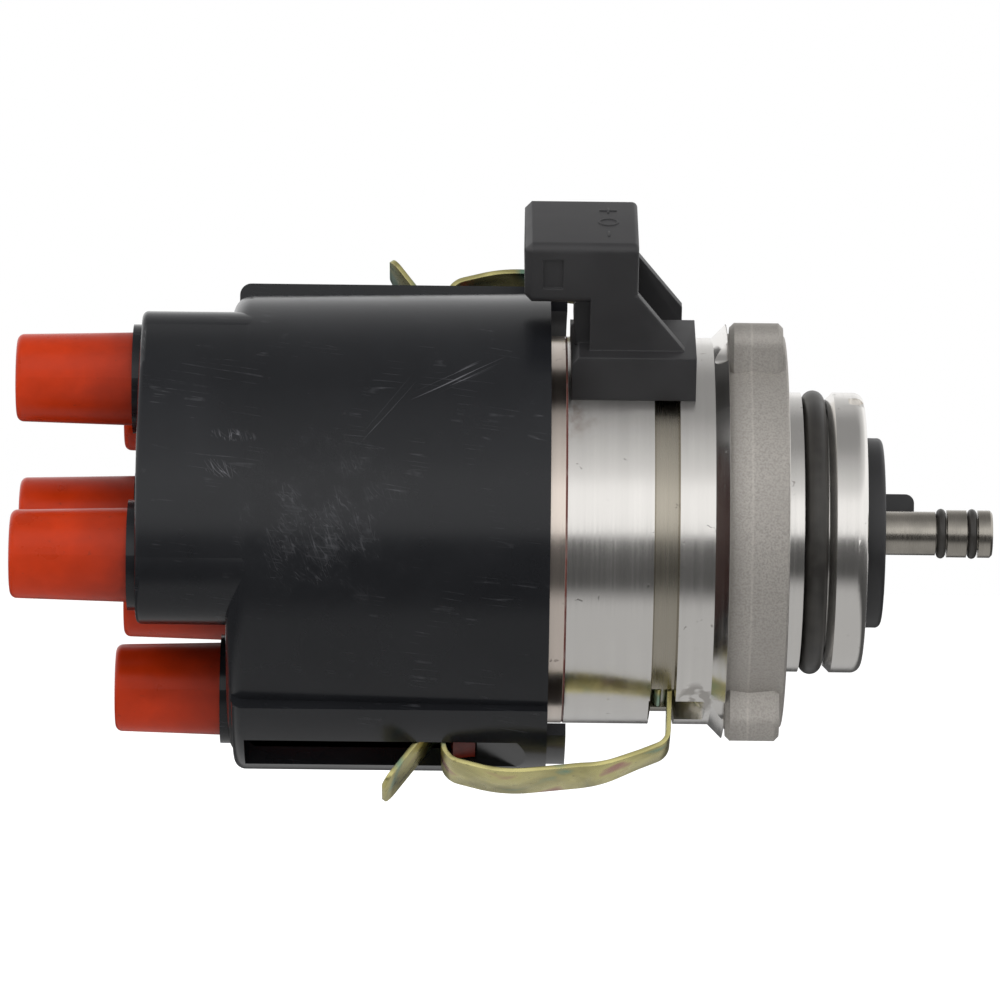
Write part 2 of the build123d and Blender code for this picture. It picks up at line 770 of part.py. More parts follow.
with BuildPart() as wheel_clip:
    revolve(
        tube(
            wheel_top_h,
            wheel_top_h + wheel_clip_t,
            shaft_neck_r - wheel_clip_depth,
            shaft_neck_r + wheel_clip_lip,
        ),
        axis=Axis.X,
    )
wheel_clip.part.label = "wheel_clip"
export_step(wheel_clip.part, "parts/wheel_clip.step")

with BuildPart() as dust_cover:
    revolve(tube(step_h, step_h + cover_t, cover_bore_r, step_r - running), axis=Axis.X)
dust_cover.part.label = "dust_cover"
export_step(dust_cover.part, "parts/dust_cover.step")


# ---- Rotor and brush ----
with BuildPart() as rotor:
    top_h = shaft_top_h + rotor_arm_t
    outline = [(rotor_base_h, shaft_neck_r), (rotor_base_h, rotor_hub_r)]
    near_h, far_h = rotor_base_h + rotor_skirt_l[0], rotor_base_h + rotor_skirt_l[1]
    outline += [(near_h, rotor_hub_r), (near_h, rotor_skirt_r)]
    outline += [(far_h, rotor_skirt_r), (far_h, rotor_hub_r)]
    outline += [(top_h, rotor_hub_r), (top_h, 0), (shaft_top_h, 0), (shaft_top_h, shaft_neck_r)]
    revolve(turned(outline), axis=Axis.X)
    with BuildSketch(across(shaft_top_h, first_tower)):
        with Locations((rotor_tip_r / 2 - 0.5, 0)):
            Rectangle(rotor_tip_r - 1, rotor_arm_w)
    extrude(amount=rotor_arm_t)
rotor.part.label = "rotor"
export_step(rotor.part, "parts/rotor.step")

with BuildPart() as rotor_blade:
    with BuildSketch(across(shaft_top_h + rotor_arm_t, first_tower)):
        with Locations((rotor_tip_r / 2 - blade_w / 4, 0)):
            Rectangle(rotor_tip_r + blade_w / 2, blade_w)
    extrude(amount=blade_t)
    ends = rotor_blade.edges().filter_by(Axis.X).sort_by(Axis.Y)
    fillet(ends[-2:], blade_w / 2 - 0.1)
rotor_blade.part.label = "rotor_blade"
export_step(rotor_blade.part, "parts/rotor_blade.step")

with BuildPart() as brush:
    with BuildSketch(across(brush_start_h)):
        Circle(brush_r)
    extrude(amount=brush_l)
brush.part.label = "brush"
export_step(brush.part, "parts/brush.step")

with BuildPart() as brush_spring:
    coil_l = spring_l - 4 * spring_wire_r
    with BuildLine() as coil:
        Helix(
            pitch=coil_l / spring_turns,
            height=coil_l,
            radius=brush_r - spring_wire_r - 0.1,
            center=(-spring_start_h - 2 * spring_wire_r, 0, 0),
            direction=(-1, 0, 0),
        )
    with BuildSketch(Plane(origin=coil.line @ 0, z_dir=coil.line % 0)):
        Circle(spring_wire_r)
    sweep()
brush_spring.part.label = "brush_spring"
export_step(brush_spring.part, "parts/brush_spring.step")


# ---- Red inner cap, its electrodes and terminals ----
def cap_tower(place, base_h, tip_h, extra_r):
    """Tapered tower with the socket of a lead; it stands on the cap and ends at its tip."""
    taper = degrees(atan((tower_base_r - tower_tip_r) / (tip_h - base_h)))
    with BuildPart() as tower:
        with BuildSketch(across(base_h)):
            with Locations(place):
                Circle(tower_base_r + extra_r)
        extrude(amount=tip_h - base_h, taper=taper)
        fillet(tower.edges().filter_by(GeomType.CIRCLE).sort_by(Axis.X)[0], tower_round)
        with BuildSketch(across(base_h)):
            with Locations(place):
                Circle(socket_r)
        extrude(amount=tip_h - base_h, mode=Mode.SUBTRACT)
    return tower


with BuildPart() as cap:
    cavity_r = cap_r - cap_wall
    rim_end_h = mouth_h + cap_rim_t
    spigot_start_h = step_h + cover_t
    spigot_outer_r = step_r - slack
    outline = [(spigot_start_h, spigot_outer_r - cap_spigot_t), (spigot_start_h, spigot_outer_r)]
    outline += [(mouth_h, spigot_outer_r), (mouth_h, cap_rim_r), (rim_end_h, cap_rim_r)]
    outline += [(rim_end_h, cap_r), (low_top_h - cap_edge, cap_r), (low_top_h, cap_r - cap_edge)]
    outline += [(low_top_h, 0), (cavity_top_h, 0), (cavity_top_h, cavity_r)]
    outline += [(rim_end_h + 2, cavity_r), (rim_end_h, spigot_outer_r - cap_spigot_t)]
    revolve(turned(outline), axis=Axis.X)
    wrap = tower_base_r + 1.0
    outer = shield_tip_r - shield_wall - slack
    extrude(raised_outline(cavity_top_h, wrap, outer - 1.0), amount=high_top_h - cavity_top_h)
    with BuildSketch(across(post_end_h)):
        for index in range(tower_count):
            with Locations(tower_place(index)):
                Circle(post_r)
    extrude(amount=cavity_top_h - post_end_h)
    with BuildSketch(across(brush_end_h)):
        Circle(post_r)
    extrude(amount=cavity_top_h - brush_end_h)
    for angle in clip_angles.values():
        with BuildSketch(along(angle, -slot_half + clip_side_gap)):
            with BuildLine():
                Polyline(
                    (slot_start_h + slack, cap_r - 1),
                    (slot_start_h + slack, cap_ear_r[0]),
                    (clip_hook_h - cap_ear_nose, cap_ear_r[1]),
                    (clip_hook_h - clip_t / 2 - slack, cap_r),
                    (clip_hook_h - clip_t / 2 - slack, cap_r - 1),
                    close=True,
                )
            make_face()
        extrude(amount=2 * (slot_half - clip_side_gap))
    for index in range(tower_count):
        with BuildSketch(across(electrode_end_h - 1)):
            with Locations(tower_place(index)):
                Circle(electrode_r)
        extrude(amount=high_tip_h - electrode_end_h, mode=Mode.SUBTRACT)
    with BuildSketch(across(brush_end_h - 1)):
        Circle(brush_r + running)
    extrude(amount=centre_end_h - brush_end_h + 1, mode=Mode.SUBTRACT)
    with BuildSketch(across(centre_end_h)):
        Circle(electrode_r)
    extrude(amount=high_tip_h - centre_end_h, mode=Mode.SUBTRACT)
cap.part.label = "cap"
export_step(cap.part, "parts/cap.step")


for index in range(tower_count):
    tower = cap_tower(tower_place(index), *tower_levels(index), 0)
    tower.part.label = f"cap_tower_{index + 1}"
    export_step(tower.part, f"parts/cap_tower_{index + 1}.step")

tower = cap_tower((0, 0), high_top_h, high_tip_h, centre_extra_r)
tower.part.label = "cap_centre_tower"
export_step(tower.part, "parts/cap_centre_tower.step")


def terminal(place, start_h, seat_h):
    """Moulded-in contact: a rod to the socket floor, a disc on it and a stud that the lead grips."""
    with BuildPart() as piece:
        with BuildSketch(across(start_h)):
            with Locations(place):
                Circle(electrode_r)
        extrude(amount=seat_h - start_h + terminal_stud_l)
        with BuildSketch(across(seat_h)):
            with Locations(place):
                Circle(socket_r - slack)
        extrude(amount=terminal_disc_t)
    return piece


for index in range(tower_count):
    contact = terminal(tower_place(index), electrode_end_h, tower_levels(index)[0])
    contact.part.label = f"cap_terminal_{index + 1}"
    export_step(contact.part, f"parts/cap_terminal_{index + 1}.step")

contact = terminal((0, 0), centre_end_h, high_top_h)
contact.part.label = "centre_terminal"
export_step(contact.part, "parts/centre_terminal.step")


# ---- Black shield ----
with BuildPart() as shield:
    with BuildSketch(along(90)) as half:
        with BuildLine():
            Polyline(
                (shield_skirt_h, 0),
                (shield_skirt_h, shield_r),
                (low_face_h, shield_tip_r),
                (low_face_h, 0),
                close=True,
            )
        make_face()
        fillet(half.vertices().sort_by(Axis.X)[-2:].sort_by(Axis.Y)[-1], shield_round)
    revolve(axis=Axis.X)
    with BuildPart(mode=Mode.PRIVATE) as raised:
        root_h = low_face_h - shield_round
        extrude(raised_outline(root_h, wrap_r, shield_tip_r), amount=high_face_h - root_h)
        fillet(raised.faces().sort_by(Axis.X)[0].edges(), raised_round)
    add(raised.part)
    for angle in clip_angles.values():
        with BuildPart(mode=Mode.PRIVATE) as rail:
            extrude(
                sector(shield_skirt_h, shield_r - rail_root, rail_r, angle, rail_half),
                amount=rail_end_h - shield_skirt_h,
            )
            fillet(rail.faces().sort_by(Axis.X)[0].edges().sort_by(SortBy.LENGTH)[-1], rail_round)
        add(rail.part)
        extrude(
            sector(shield_skirt_h - tab_l, shield_inner_r, shield_r + 0.4, angle, tab_half),
            amount=tab_l + 2,
        )
    for index in range(tower_count):
        face_h = high_face_h if index in raised_towers else low_face_h
        with BuildSketch(across(face_h - 1)):
            with Locations(tower_place(index)):
                Circle(tower_collar_r)
        extrude(amount=tower_collar_l + 1)
    with BuildSketch(across(high_face_h - 1)):
        Circle(tower_collar_r + centre_extra_r)
    extrude(amount=tower_collar_l + 1)
    outline = [(0, 0), (0, shield_inner_r), (low_top_h - shield_inner_chamfer, shield_inner_r)]
    outline += [(low_top_h, shield_inner_r - shield_inner_chamfer), (low_top_h, 0)]
    revolve(turned(outline), axis=Axis.X, mode=Mode.SUBTRACT)
    inner_wrap = wrap_r - shield_wall
    extrude(
        raised_outline(low_top_h - 1, inner_wrap, shield_tip_r - shield_wall),
        amount=high_top_h - low_top_h + 1,
        mode=Mode.SUBTRACT,
    )
    for index in range(tower_count):
        with BuildSketch(across(low_top_h)):
            with Locations(tower_place(index)):
                Circle(tower_base_r + slack)
        extrude(amount=high_tip_h - low_top_h, mode=Mode.SUBTRACT)
    with BuildSketch(across(low_top_h)):
        Circle(tower_base_r + centre_extra_r + slack)
    extrude(amount=high_tip_h - low_top_h, mode=Mode.SUBTRACT)
    for angle in clip_angles.values():
        with BuildSketch(along(angle, -slot_half)):
            with BuildLine():
                Polyline(
                    (slot_start_h, cap_r + 1),
                    (slot_start_h, saddle_low_r),
                    (shield_skirt_h + saddle_flat_l, rail_r),
                    (shield_skirt_h + saddle_flat_l, rail_r + slack),
                    (slot_end_h, rail_r + slack),
                    (slot_end_h, cap_r + 1),
                    close=True,
                )
            make_face()
        extrude(amount=2 * slot_half, mode=Mode.SUBTRACT)
shield.part.label = "shield"
export_step(shield.part, "parts/shield.step")
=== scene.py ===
"""Looks of an ignition distributor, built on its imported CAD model."""

import math

import bpy
from bpy.props import FloatProperty, FloatVectorProperty, PointerProperty
from mathutils import Matrix, Vector


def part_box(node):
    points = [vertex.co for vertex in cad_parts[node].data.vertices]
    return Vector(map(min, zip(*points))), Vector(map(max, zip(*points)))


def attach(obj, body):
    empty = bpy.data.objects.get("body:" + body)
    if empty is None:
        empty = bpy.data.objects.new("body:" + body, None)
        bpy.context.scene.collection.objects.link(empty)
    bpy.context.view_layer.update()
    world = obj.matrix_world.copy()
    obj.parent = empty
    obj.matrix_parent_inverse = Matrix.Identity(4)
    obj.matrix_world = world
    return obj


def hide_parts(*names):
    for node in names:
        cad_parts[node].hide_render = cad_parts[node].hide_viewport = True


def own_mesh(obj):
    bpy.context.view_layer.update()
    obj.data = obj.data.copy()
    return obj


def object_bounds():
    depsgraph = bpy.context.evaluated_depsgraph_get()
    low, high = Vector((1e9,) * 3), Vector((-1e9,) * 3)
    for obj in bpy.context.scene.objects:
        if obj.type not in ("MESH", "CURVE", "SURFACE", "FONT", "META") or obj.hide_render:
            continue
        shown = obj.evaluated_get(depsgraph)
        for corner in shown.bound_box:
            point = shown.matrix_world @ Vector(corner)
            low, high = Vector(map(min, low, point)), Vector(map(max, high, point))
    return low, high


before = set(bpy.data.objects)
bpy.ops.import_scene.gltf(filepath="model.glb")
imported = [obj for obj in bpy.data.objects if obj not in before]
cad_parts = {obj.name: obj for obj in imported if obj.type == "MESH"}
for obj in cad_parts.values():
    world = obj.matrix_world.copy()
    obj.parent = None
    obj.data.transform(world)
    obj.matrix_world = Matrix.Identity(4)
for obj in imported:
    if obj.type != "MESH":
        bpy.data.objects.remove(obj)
cad_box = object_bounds()

bl_info = {
    "name": "Ignition distributor",
    "version": (1, 0, 0),
    "blender": (4, 5, 0),
    "location": "View3D > Sidebar > Distributor",
    "description": "Dresses an ignition distributor and sets its studio",
    "category": "Object",
}

MM = 0.001

# ---- Places on the part: x along the shaft from the flange's seat, radius out from the shaft ----
CAST_FLANGE_X = (-10.3 * MM, -0.05 * MM)
CAST_FLANGE_RADIUS = 33.7 * MM
MOULD_PARTING_X = -6.4 * MM
SHADED_STRIP_X = (-7.2 * MM, -8.6 * MM)
CLIP_GROOVE_X = -20.8 * MM
CLIP_GROOVE_HALF = 2.4 * MM
CLIP_GROOVE_RADIUS = 33.2 * MM
PAINT_LINE_X = -37.9 * MM
PAINT_LINE_RADIUS = 32.5 * MM
CAP_RIM_X = (-48.0 * MM, -44.0 * MM)
LOW_TOWER_FOOT_X = -95.5 * MM
HIGH_TOWER_FOOT_X = -110.8 * MM
PLUG_TURN = math.radians(64.5)
PLUG_TOP_RADIUS = 58.2 * MM
PIN_MARKS_X = -31.2 * MM
PIN_PITCH = 5.0 * MM

# ---- The flash line of the rubber rings, in their round section ----
FLASH_HALF_ANGLE = math.radians(7.6)
FLASH_NARROWING = 0.45

# ---- Marks of use: the middle and the half size of a soft patch, and the turn of scratches ----
PLUG_STAIN = ((-0.0385, -0.026, 0.0215), (0.009, 0.03, 0.0075))
STAKED_CORNER = ((-0.0152, -0.017, -0.0290), (0.0034, 0.008, 0.0040))
HANDLED_SIDE = ((-0.079, -0.040, 0.001), (0.017, 0.03, 0.016))
FIRST_SCRATCH = ((-0.0565, -0.034, 0.0258), (0.0095, 0.03, 0.0013))
SECOND_SCRATCH = ((-0.0676, -0.036, 0.0212), (0.0095, 0.03, 0.0009))
HIGH_TUFT = ((-0.0945, -0.040, 0.0155), (0.0045, 0.02, 0.0012))
LOW_TUFT = ((-0.0965, -0.040, 0.0098), (0.0035, 0.02, 0.0016))
FIRST_TURN = -0.43
SECOND_TURN = -0.88

# ---- Colours of wear and dirt; the tower and rim grime also hold painted shade ----
DING_GREY = (0.22, 0.20, 0.18)
VARNISH_BROWN = (0.30, 0.15, 0.08)
TORN_GREY = (0.24, 0.22, 0.19)
WARM_TINT = (0.97, 0.88, 0.82)
GROOVE_TINT = (0.57, 0.54, 0.47)
RED_PAINT = (0.19, 0.032, 0.022)
RUBBED_BLACK = (0.030, 0.031, 0.034)
SCRATCH_GREY = (0.22, 0.22, 0.24)
TOWER_GRIME_AND_SHADE = (0.085, 0.012, 0.008)
RIM_GRIME_AND_SHADE = (0.030, 0.012, 0.009)
DARK_SPECK = (0.10, 0.02, 0.01)
FILM_GREEN = (0.26, 0.42, 0.30)
FILM_PINK = (0.60, 0.34, 0.26)
BARE_STEEL = (0.52, 0.49, 0.42)
DARK_SPOT = (0.16, 0.13, 0.06)
RUBBER_BLACK = (0.024, 0.022, 0.020)
RUBBER_BLOOM = (0.046, 0.043, 0.038)

# ---- Places in the studio ----
CAMERA_X = -57.7 * MM
CAMERA_TARGET_X = -49.0 * MM
CAMERA_HEIGHT = 5.0 * MM
CAMERA_ROLL = math.radians(0.64)
LAMP_TARGET = (-0.05, 0.0, 0.0)
LAMP_SIZE = (1.2, 0.8)


# ---- Settings ----
class DistributorLooks(bpy.types.PropertyGroup):
    """Colours and sizes of the distributor's finishes and of its studio."""

    machined: FloatVectorProperty(
        name="Machined metal",
        description="Colour of the turned aluminium body",
        default=(0.895, 0.87, 0.835),
        size=3,
        min=0,
        max=1,
        subtype="COLOR",
    )
    cast: FloatVectorProperty(
        name="Cast metal",
        description="Colour of the rough cast flange",
        default=(0.43, 0.405, 0.375),
        size=3,
        min=0,
        max=1,
        subtype="COLOR",
    )
    shield: FloatVectorProperty(
        name="Shield",
        description="Colour of the black shield over the cap",
        default=(0.0085, 0.009, 0.0105),
        size=3,
        min=0,
        max=1,
        subtype="COLOR",
    )
    towers: FloatVectorProperty(
        name="Cap",
        description="Colour of the orange red cap and its towers",
        default=(0.46, 0.030, 0.0025),
        size=3,
        min=0,
        max=1,
        subtype="COLOR",
    )
    passivated: FloatVectorProperty(
        name="Clips",
        description="Colour of the yellow passivated spring steel",
        default=(0.68, 0.62, 0.27),
        size=3,
        min=0,
        max=1,
        subtype="COLOR",
    )
    plug: FloatVectorProperty(
        name="Plug",
        description="Colour of the plug moulding",
        default=(0.0180, 0.0175, 0.0185),
        size=3,
        min=0,
        max=1,
        subtype="COLOR",
    )
    camera_distance: FloatProperty(
        name="Camera distance",
        description="Distance from the camera to the shaft",
        default=1.25,
        min=0.1,
        unit="LENGTH",
        subtype="DISTANCE",
    )
    lens: FloatProperty(
        name="Lens",
        description="Focal length of the camera",
        default=258.75,
        min=10,
        subtype="DISTANCE_CAMERA",
    )
    floor_drop: FloatProperty(
        name="Floor drop",
        description="Height of the object above the floor",
        default=0.04,
        min=0,
        unit="LENGTH",
        subtype="DISTANCE",
    )


# ---- Shader helpers ----
class Tree:
    """Nodes of a material, of a group or of the world, with short ways to add the usual ones."""

    def __init__(self, owner):
        self.nodes = owner.nodes
        self.links = owner.links

    def new(self, kind, operation=None):
        """A fresh node, with its operation where it has one."""
        node = self.nodes.new(kind)
        if operation:
            node.operation = operation
        return node

    def link(self, output, socket):
        """Joins an output to an input socket."""
        self.links.new(output, socket)

    def feed(self, value, socket):
        """Puts a plain value, or the output of a node, into an input socket."""
        if hasattr(value, "is_output"):
            self.links.new(value, socket)
        else:
            socket.default_value = value

    def coordinates(self):
        """Object coordinates of the piece."""
        return self.new("ShaderNodeTexCoord").outputs["Object"]

    def effect(self, group, vector, **values):
        """A node group, fed with a vector and plain values."""
        node = self.new("ShaderNodeGroup")
        node.node_tree = group
        self.link(vector, node.inputs["Vector"])
        for key, value in values.items():
            node.inputs[key].default_value = value
        return node

    def noise(self, vector, scale, detail=3.0, roughness=0.5, distortion=0.0):
        """Value of a noise texture."""
        node = self.new("ShaderNodeTexNoise")
        node.inputs["Scale"].default_value = scale
        node.inputs["Detail"].default_value = detail
        node.inputs["Roughness"].default_value = roughness
        node.inputs["Distortion"].default_value = distortion
        self.link(vector, node.inputs["Vector"])
        return node.outputs["Fac"]

    def fitted(self, value, from_low, from_high, to_low=0.0, to_high=1.0):
        """Value taken from one range to another and clamped."""
        node = self.new("ShaderNodeMapRange")
        self.link(value, node.inputs["Value"])
        node.inputs["From Min"].default_value = from_low
        node.inputs["From Max"].default_value = from_high
        node.inputs["To Min"].default_value = to_low
        node.inputs["To Max"].default_value = to_high
        return node.outputs["Result"]

    def maths(self, operation, *values):
        """Math node on values or outputs."""
        node = self.new("ShaderNodeMath", operation)
        for value, socket in zip(values, node.inputs):
            self.feed(value, socket)
        return node.outputs["Value"]

    def chain(self, operation, first, *others):
        """One math operation over any number of values or outputs, from left to right."""
        for other in others:
            first = self.maths(operation, first, other)
        return first

    def product(self, *values):
        """Product of values or outputs."""
        return self.chain("MULTIPLY", *values)

    def total(self, *values):
        """Sum of values or outputs."""
        return self.chain("ADD", *values)

    def apart(self, value, middle):
        """How far a value is from a plain number."""
        return self.maths("ABSOLUTE", self.maths("SUBTRACT", value, middle))

    def mixed(self, factor, first, second, blend="MIX"):
        """Mix of two colours, each a tuple or an output."""
        node = self.new("ShaderNodeMix")
        node.data_type = "RGBA"
        node.blend_type = blend
        colours = [socket for socket in node.inputs if socket.type == "RGBA"]
        self.feed(factor, next(socket for socket in node.inputs if socket.type == "VALUE"))
        for value, socket in zip((first, second), colours):
            self.feed((*value, 1.0) if isinstance(value, tuple) else value, socket)
        return next(socket for socket in node.outputs if socket.type == "RGBA")

    def bumped(self, shader, height, strength, distance):
        """Bump node from a height into the shader's normal."""
        node = self.new("ShaderNodeBump")
        node.inputs["Strength"].default_value = strength
        node.inputs["Distance"].default_value = distance
        self.link(height, node.inputs["Height"])
        self.link(node.outputs["Normal"], shader.inputs["Normal"])
        return node

    def rounded(self, radius):
        """Normal of edges that look rounded over a radius."""
        bevel = self.new("ShaderNodeBevel")
        bevel.samples = 4
        bevel.inputs["Radius"].default_value = radius
        return bevel.outputs["Normal"]

    def edge_mask(self, normal, low, high):
        """1 along worn edges, where the rounded normal leaves the true one, and 0 on flats."""
        geometry = self.new("ShaderNodeNewGeometry")
        dot = self.new("ShaderNodeVectorMath", "DOT_PRODUCT")
        self.link(normal, dot.inputs[0])
        self.link(geometry.outputs["Normal"], dot.inputs[1])
        return self.fitted(dot.outputs["Value"], high, low)

    def patch(self, vector, centre, size, turn=0.0, soft=0.3):
        """Soft mask, 1 in the middle of an ellipsoid and 0 outside it; the turn is about Y."""
        mapping = self.new("ShaderNodeMapping")
        mapping.vector_type = "TEXTURE"
        mapping.inputs["Location"].default_value = centre
        mapping.inputs["Rotation"].default_value = (0.0, turn, 0.0)
        mapping.inputs["Scale"].default_value = size
        self.link(vector, mapping.inputs["Vector"])
        length = self.new("ShaderNodeVectorMath", "LENGTH")
        self.link(mapping.outputs["Vector"], length.inputs[0])
        return self.fitted(length.outputs["Value"], 1.0, soft)


def start_material(name):
    """A fresh node material; returns it with its tree and its Principled shader."""
    material = bpy.data.materials.new(name)
    material.use_nodes = True
    tree = Tree(material.node_tree)
    return material, tree, tree.nodes["Principled BSDF"]


def start_group(name, inputs, outputs):
    """A fresh node group with named sockets; returns it with its tree, its entry and its result."""
    group = bpy.data.node_groups.new(name, "ShaderNodeTree")
    for label, kind, default in inputs:
        socket = group.interface.new_socket(label, in_out="INPUT", socket_type=kind)
        if default is not None:
            socket.default_value = default
    for label, kind in outputs:
        group.interface.new_socket(label, in_out="OUTPUT", socket_type=kind)
    tree = Tree(group)
    return group, tree, tree.new("NodeGroupInput"), tree.new("NodeGroupOutput")


def shade(colour, share):
    """A colour made darker or lighter by a share."""
    return tuple(min(1.0, channel * share) for channel in colour)


# ---- Shared effects ----
def turning_lines():
    """Group: fine rings that a lathe leaves across the shaft, as a height and as a tint mask."""
    name = "Turning lines"
    if name in bpy.data.node_groups:
        return bpy.data.node_groups[name]
    group, tree, entry, result = start_group(
        name,
        [("Vector", "NodeSocketVector", None), ("Density", "NodeSocketFloat", 3000.0)],
        [("Height", "NodeSocketFloat"), ("Mask", "NodeSocketFloat")],
    )
    spread = tree.new("ShaderNodeCombineXYZ")
    tree.link(entry.outputs["Density"], spread.inputs["X"])
    spread.inputs["Y"].default_value = 14.0
    spread.inputs["Z"].default_value = 14.0
    scaled = tree.new("ShaderNodeVectorMath", "MULTIPLY")
    tree.link(entry.outputs["Vector"], scaled.inputs[0])
    tree.link(spread.outputs["Vector"], scaled.inputs[1])
    fine = tree.noise(scaled.outputs["Vector"], 1.0, 2.0, 0.6)
    coarse = tree.noise(scaled.outputs["Vector"], 0.17, 3.0, 0.6)
    tree.link(fine, result.inputs["Height"])
    tree.link(tree.fitted(coarse, 0.35, 0.65), result.inputs["Mask"])
    return group


def cast_grain():
    """Group: pits and lumps of a sand cast or moulded skin."""
    name = "Cast grain"
    if name in bpy.data.node_groups:
        return bpy.data.node_groups[name]
    group, tree, entry, result = start_group(
        name,
        [("Vector", "NodeSocketVector", None), ("Scale", "NodeSocketFloat", 1500.0)],
        [("Height", "NodeSocketFloat"), ("Pits", "NodeSocketFloat")],
    )
    grain = tree.new("ShaderNodeTexNoise")
    grain.inputs["Detail"].default_value = 4.0
    cells = tree.new("ShaderNodeTexVoronoi")
    for node in (grain, cells):
        tree.link(entry.outputs["Vector"], node.inputs["Vector"])
        tree.link(entry.outputs["Scale"], node.inputs["Scale"])
    dimples = tree.fitted(cells.outputs["Distance"], 0.0, 0.5, 0.0, 0.35)
    tree.link(tree.total(grain.outputs["Fac"], dimples), result.inputs["Height"])
    tree.link(tree.fitted(grain.outputs["Fac"], 0.36, 0.60), result.inputs["Pits"])
    return group


def hairlines():
    """Group: long fine scratches in one direction, as a mask."""
    name = "Hairlines"
    if name in bpy.data.node_groups:
        return bpy.data.node_groups[name]
    group, tree, entry, result = start_group(
        name,
        [
            ("Vector", "NodeSocketVector", None),
            ("Turn", "NodeSocketVector", None),
            ("Size", "NodeSocketVector", (0.03, 0.03, 0.001)),
            ("Width", "NodeSocketFloat", 0.02),
            ("Curl", "NodeSocketFloat", 0.15),
        ],
        [("Mask", "NodeSocketFloat")],
    )
    mapping = tree.new("ShaderNodeMapping")
    mapping.vector_type = "TEXTURE"
    for key, socket in (("Vector", "Vector"), ("Turn", "Rotation"), ("Size", "Scale")):
        tree.link(entry.outputs[key], mapping.inputs[socket])
    wave = tree.new("ShaderNodeTexNoise")
    wave.inputs["Scale"].default_value = 1.0
    wave.inputs["Detail"].default_value = 1.0
    wave.inputs["Roughness"].default_value = 0.4
    tree.link(mapping.outputs["Vector"], wave.inputs["Vector"])
    tree.link(entry.outputs["Curl"], wave.inputs["Distortion"])
    share = tree.maths("DIVIDE", tree.apart(wave.outputs["Fac"], 0.5), entry.outputs["Width"])
    tree.link(tree.fitted(share, 1.0, 0.2), result.inputs["Mask"])
    return group


# ---- Finishes ----
def turned_skin(tree, place, x, radius, metal):
    """Colour, roughness and height of turned aluminium, with its stains, dings and clip groove."""
    lines = tree.effect(turning_lines(), place, Density=2600.0)
    blotch = tree.fitted(tree.noise(place, 45.0, 4.0, 0.6), 0.35, 0.7)
    dings = tree.fitted(tree.noise(place, 520.0, 2.0, 0.5, 0.5), 0.715, 0.76)
    warm = tree.fitted(tree.noise(place, 120.0, 4.0, 0.65), 0.45, 0.65)
    by_plug = tree.patch(place, *PLUG_STAIN)
    varnish = tree.product(by_plug, warm)
    staked = tree.patch(place, *STAKED_CORNER, soft=0.7)
    torn = tree.product(staked, tree.fitted(tree.noise(place, 420.0, 1.0), 0.46, 0.54))
    beyond_paint = tree.maths("LESS_THAN", x, PAINT_LINE_X)
    between = tree.maths("LESS_THAN", tree.apart(x, CLIP_GROOVE_X), CLIP_GROOVE_HALF)
    sunk = tree.maths("LESS_THAN", radius, CLIP_GROOVE_RADIUS)
    groove = tree.product(between, sunk)

    colour = tree.mixed(lines.outputs["Mask"], shade(metal, 0.93), shade(metal, 1.03))
    colour = tree.mixed(blotch, shade(metal, 0.92), colour)
    colour = tree.mixed(tree.product(dings, 0.5), colour, DING_GREY)
    colour = tree.mixed(tree.product(varnish, 0.75), colour, VARNISH_BROWN)
    colour = tree.mixed(tree.product(torn, 0.55), colour, TORN_GREY)
    colour = tree.mixed(beyond_paint, colour, WARM_TINT, "MULTIPLY")
    colour = tree.mixed(groove, colour, GROOVE_TINT, "MULTIPLY")

    rough = tree.fitted(lines.outputs["Height"], 0.3, 0.7, 0.14, 0.20)
    rough = tree.total(rough, tree.product(blotch, 0.05), tree.product(groove, 0.07))
    height = tree.total(tree.product(lines.outputs["Height"], 0.03), torn)
    height = tree.maths("SUBTRACT", height, tree.product(dings, 0.2))
    return colour, rough, height


def cast_skin(tree, place, x, metal):
    """Colour and height of the cast flange, with its parting line drawn as a painted highlight and
    a strip of painted shade behind it.
    """
    grain = tree.effect(cast_grain(), place, Scale=2900.0)
    drifted = tree.fitted(tree.noise(place, 55.0, 3.0), 0.4, 0.65, 0.0, 0.5)
    # A strip of painted shade: the flange is darkened towards the flare, where shade falls.
    painted_shade_strip = tree.fitted(x, *SHADED_STRIP_X, 0.0, 0.35)
    # The parting line is a real seam, drawn lighter here as a painted highlight.
    seam_highlight = tree.fitted(tree.apart(x, MOULD_PARTING_X), 0.30 * MM, 0.0, 0.0, 0.18)
    colour = tree.mixed(grain.outputs["Pits"], shade(metal, 0.84), shade(metal, 1.10))
    colour = tree.mixed(drifted, colour, shade(metal, 0.84))
    colour = tree.mixed(painted_shade_strip, colour, shade(metal, 0.72))
    colour = tree.mixed(seam_highlight, colour, shade(metal, 1.9))
    return colour, tree.product(grain.outputs["Height"], 0.9)


def paint_line(tree, place, x, radius):
    """Mask of the thin painted ring near the shield, rubbed in places."""
    ring = tree.fitted(tree.apart(x, PAINT_LINE_X), 0.20 * MM, 0.12 * MM)
    rubbed = tree.fitted(tree.noise(place, 300.0, 3.0), 0.30, 0.5, 0.60, 0.92)
    outside = tree.maths("GREATER_THAN", radius, PAINT_LINE_RADIUS)
    return tree.product(ring, rubbed, outside)


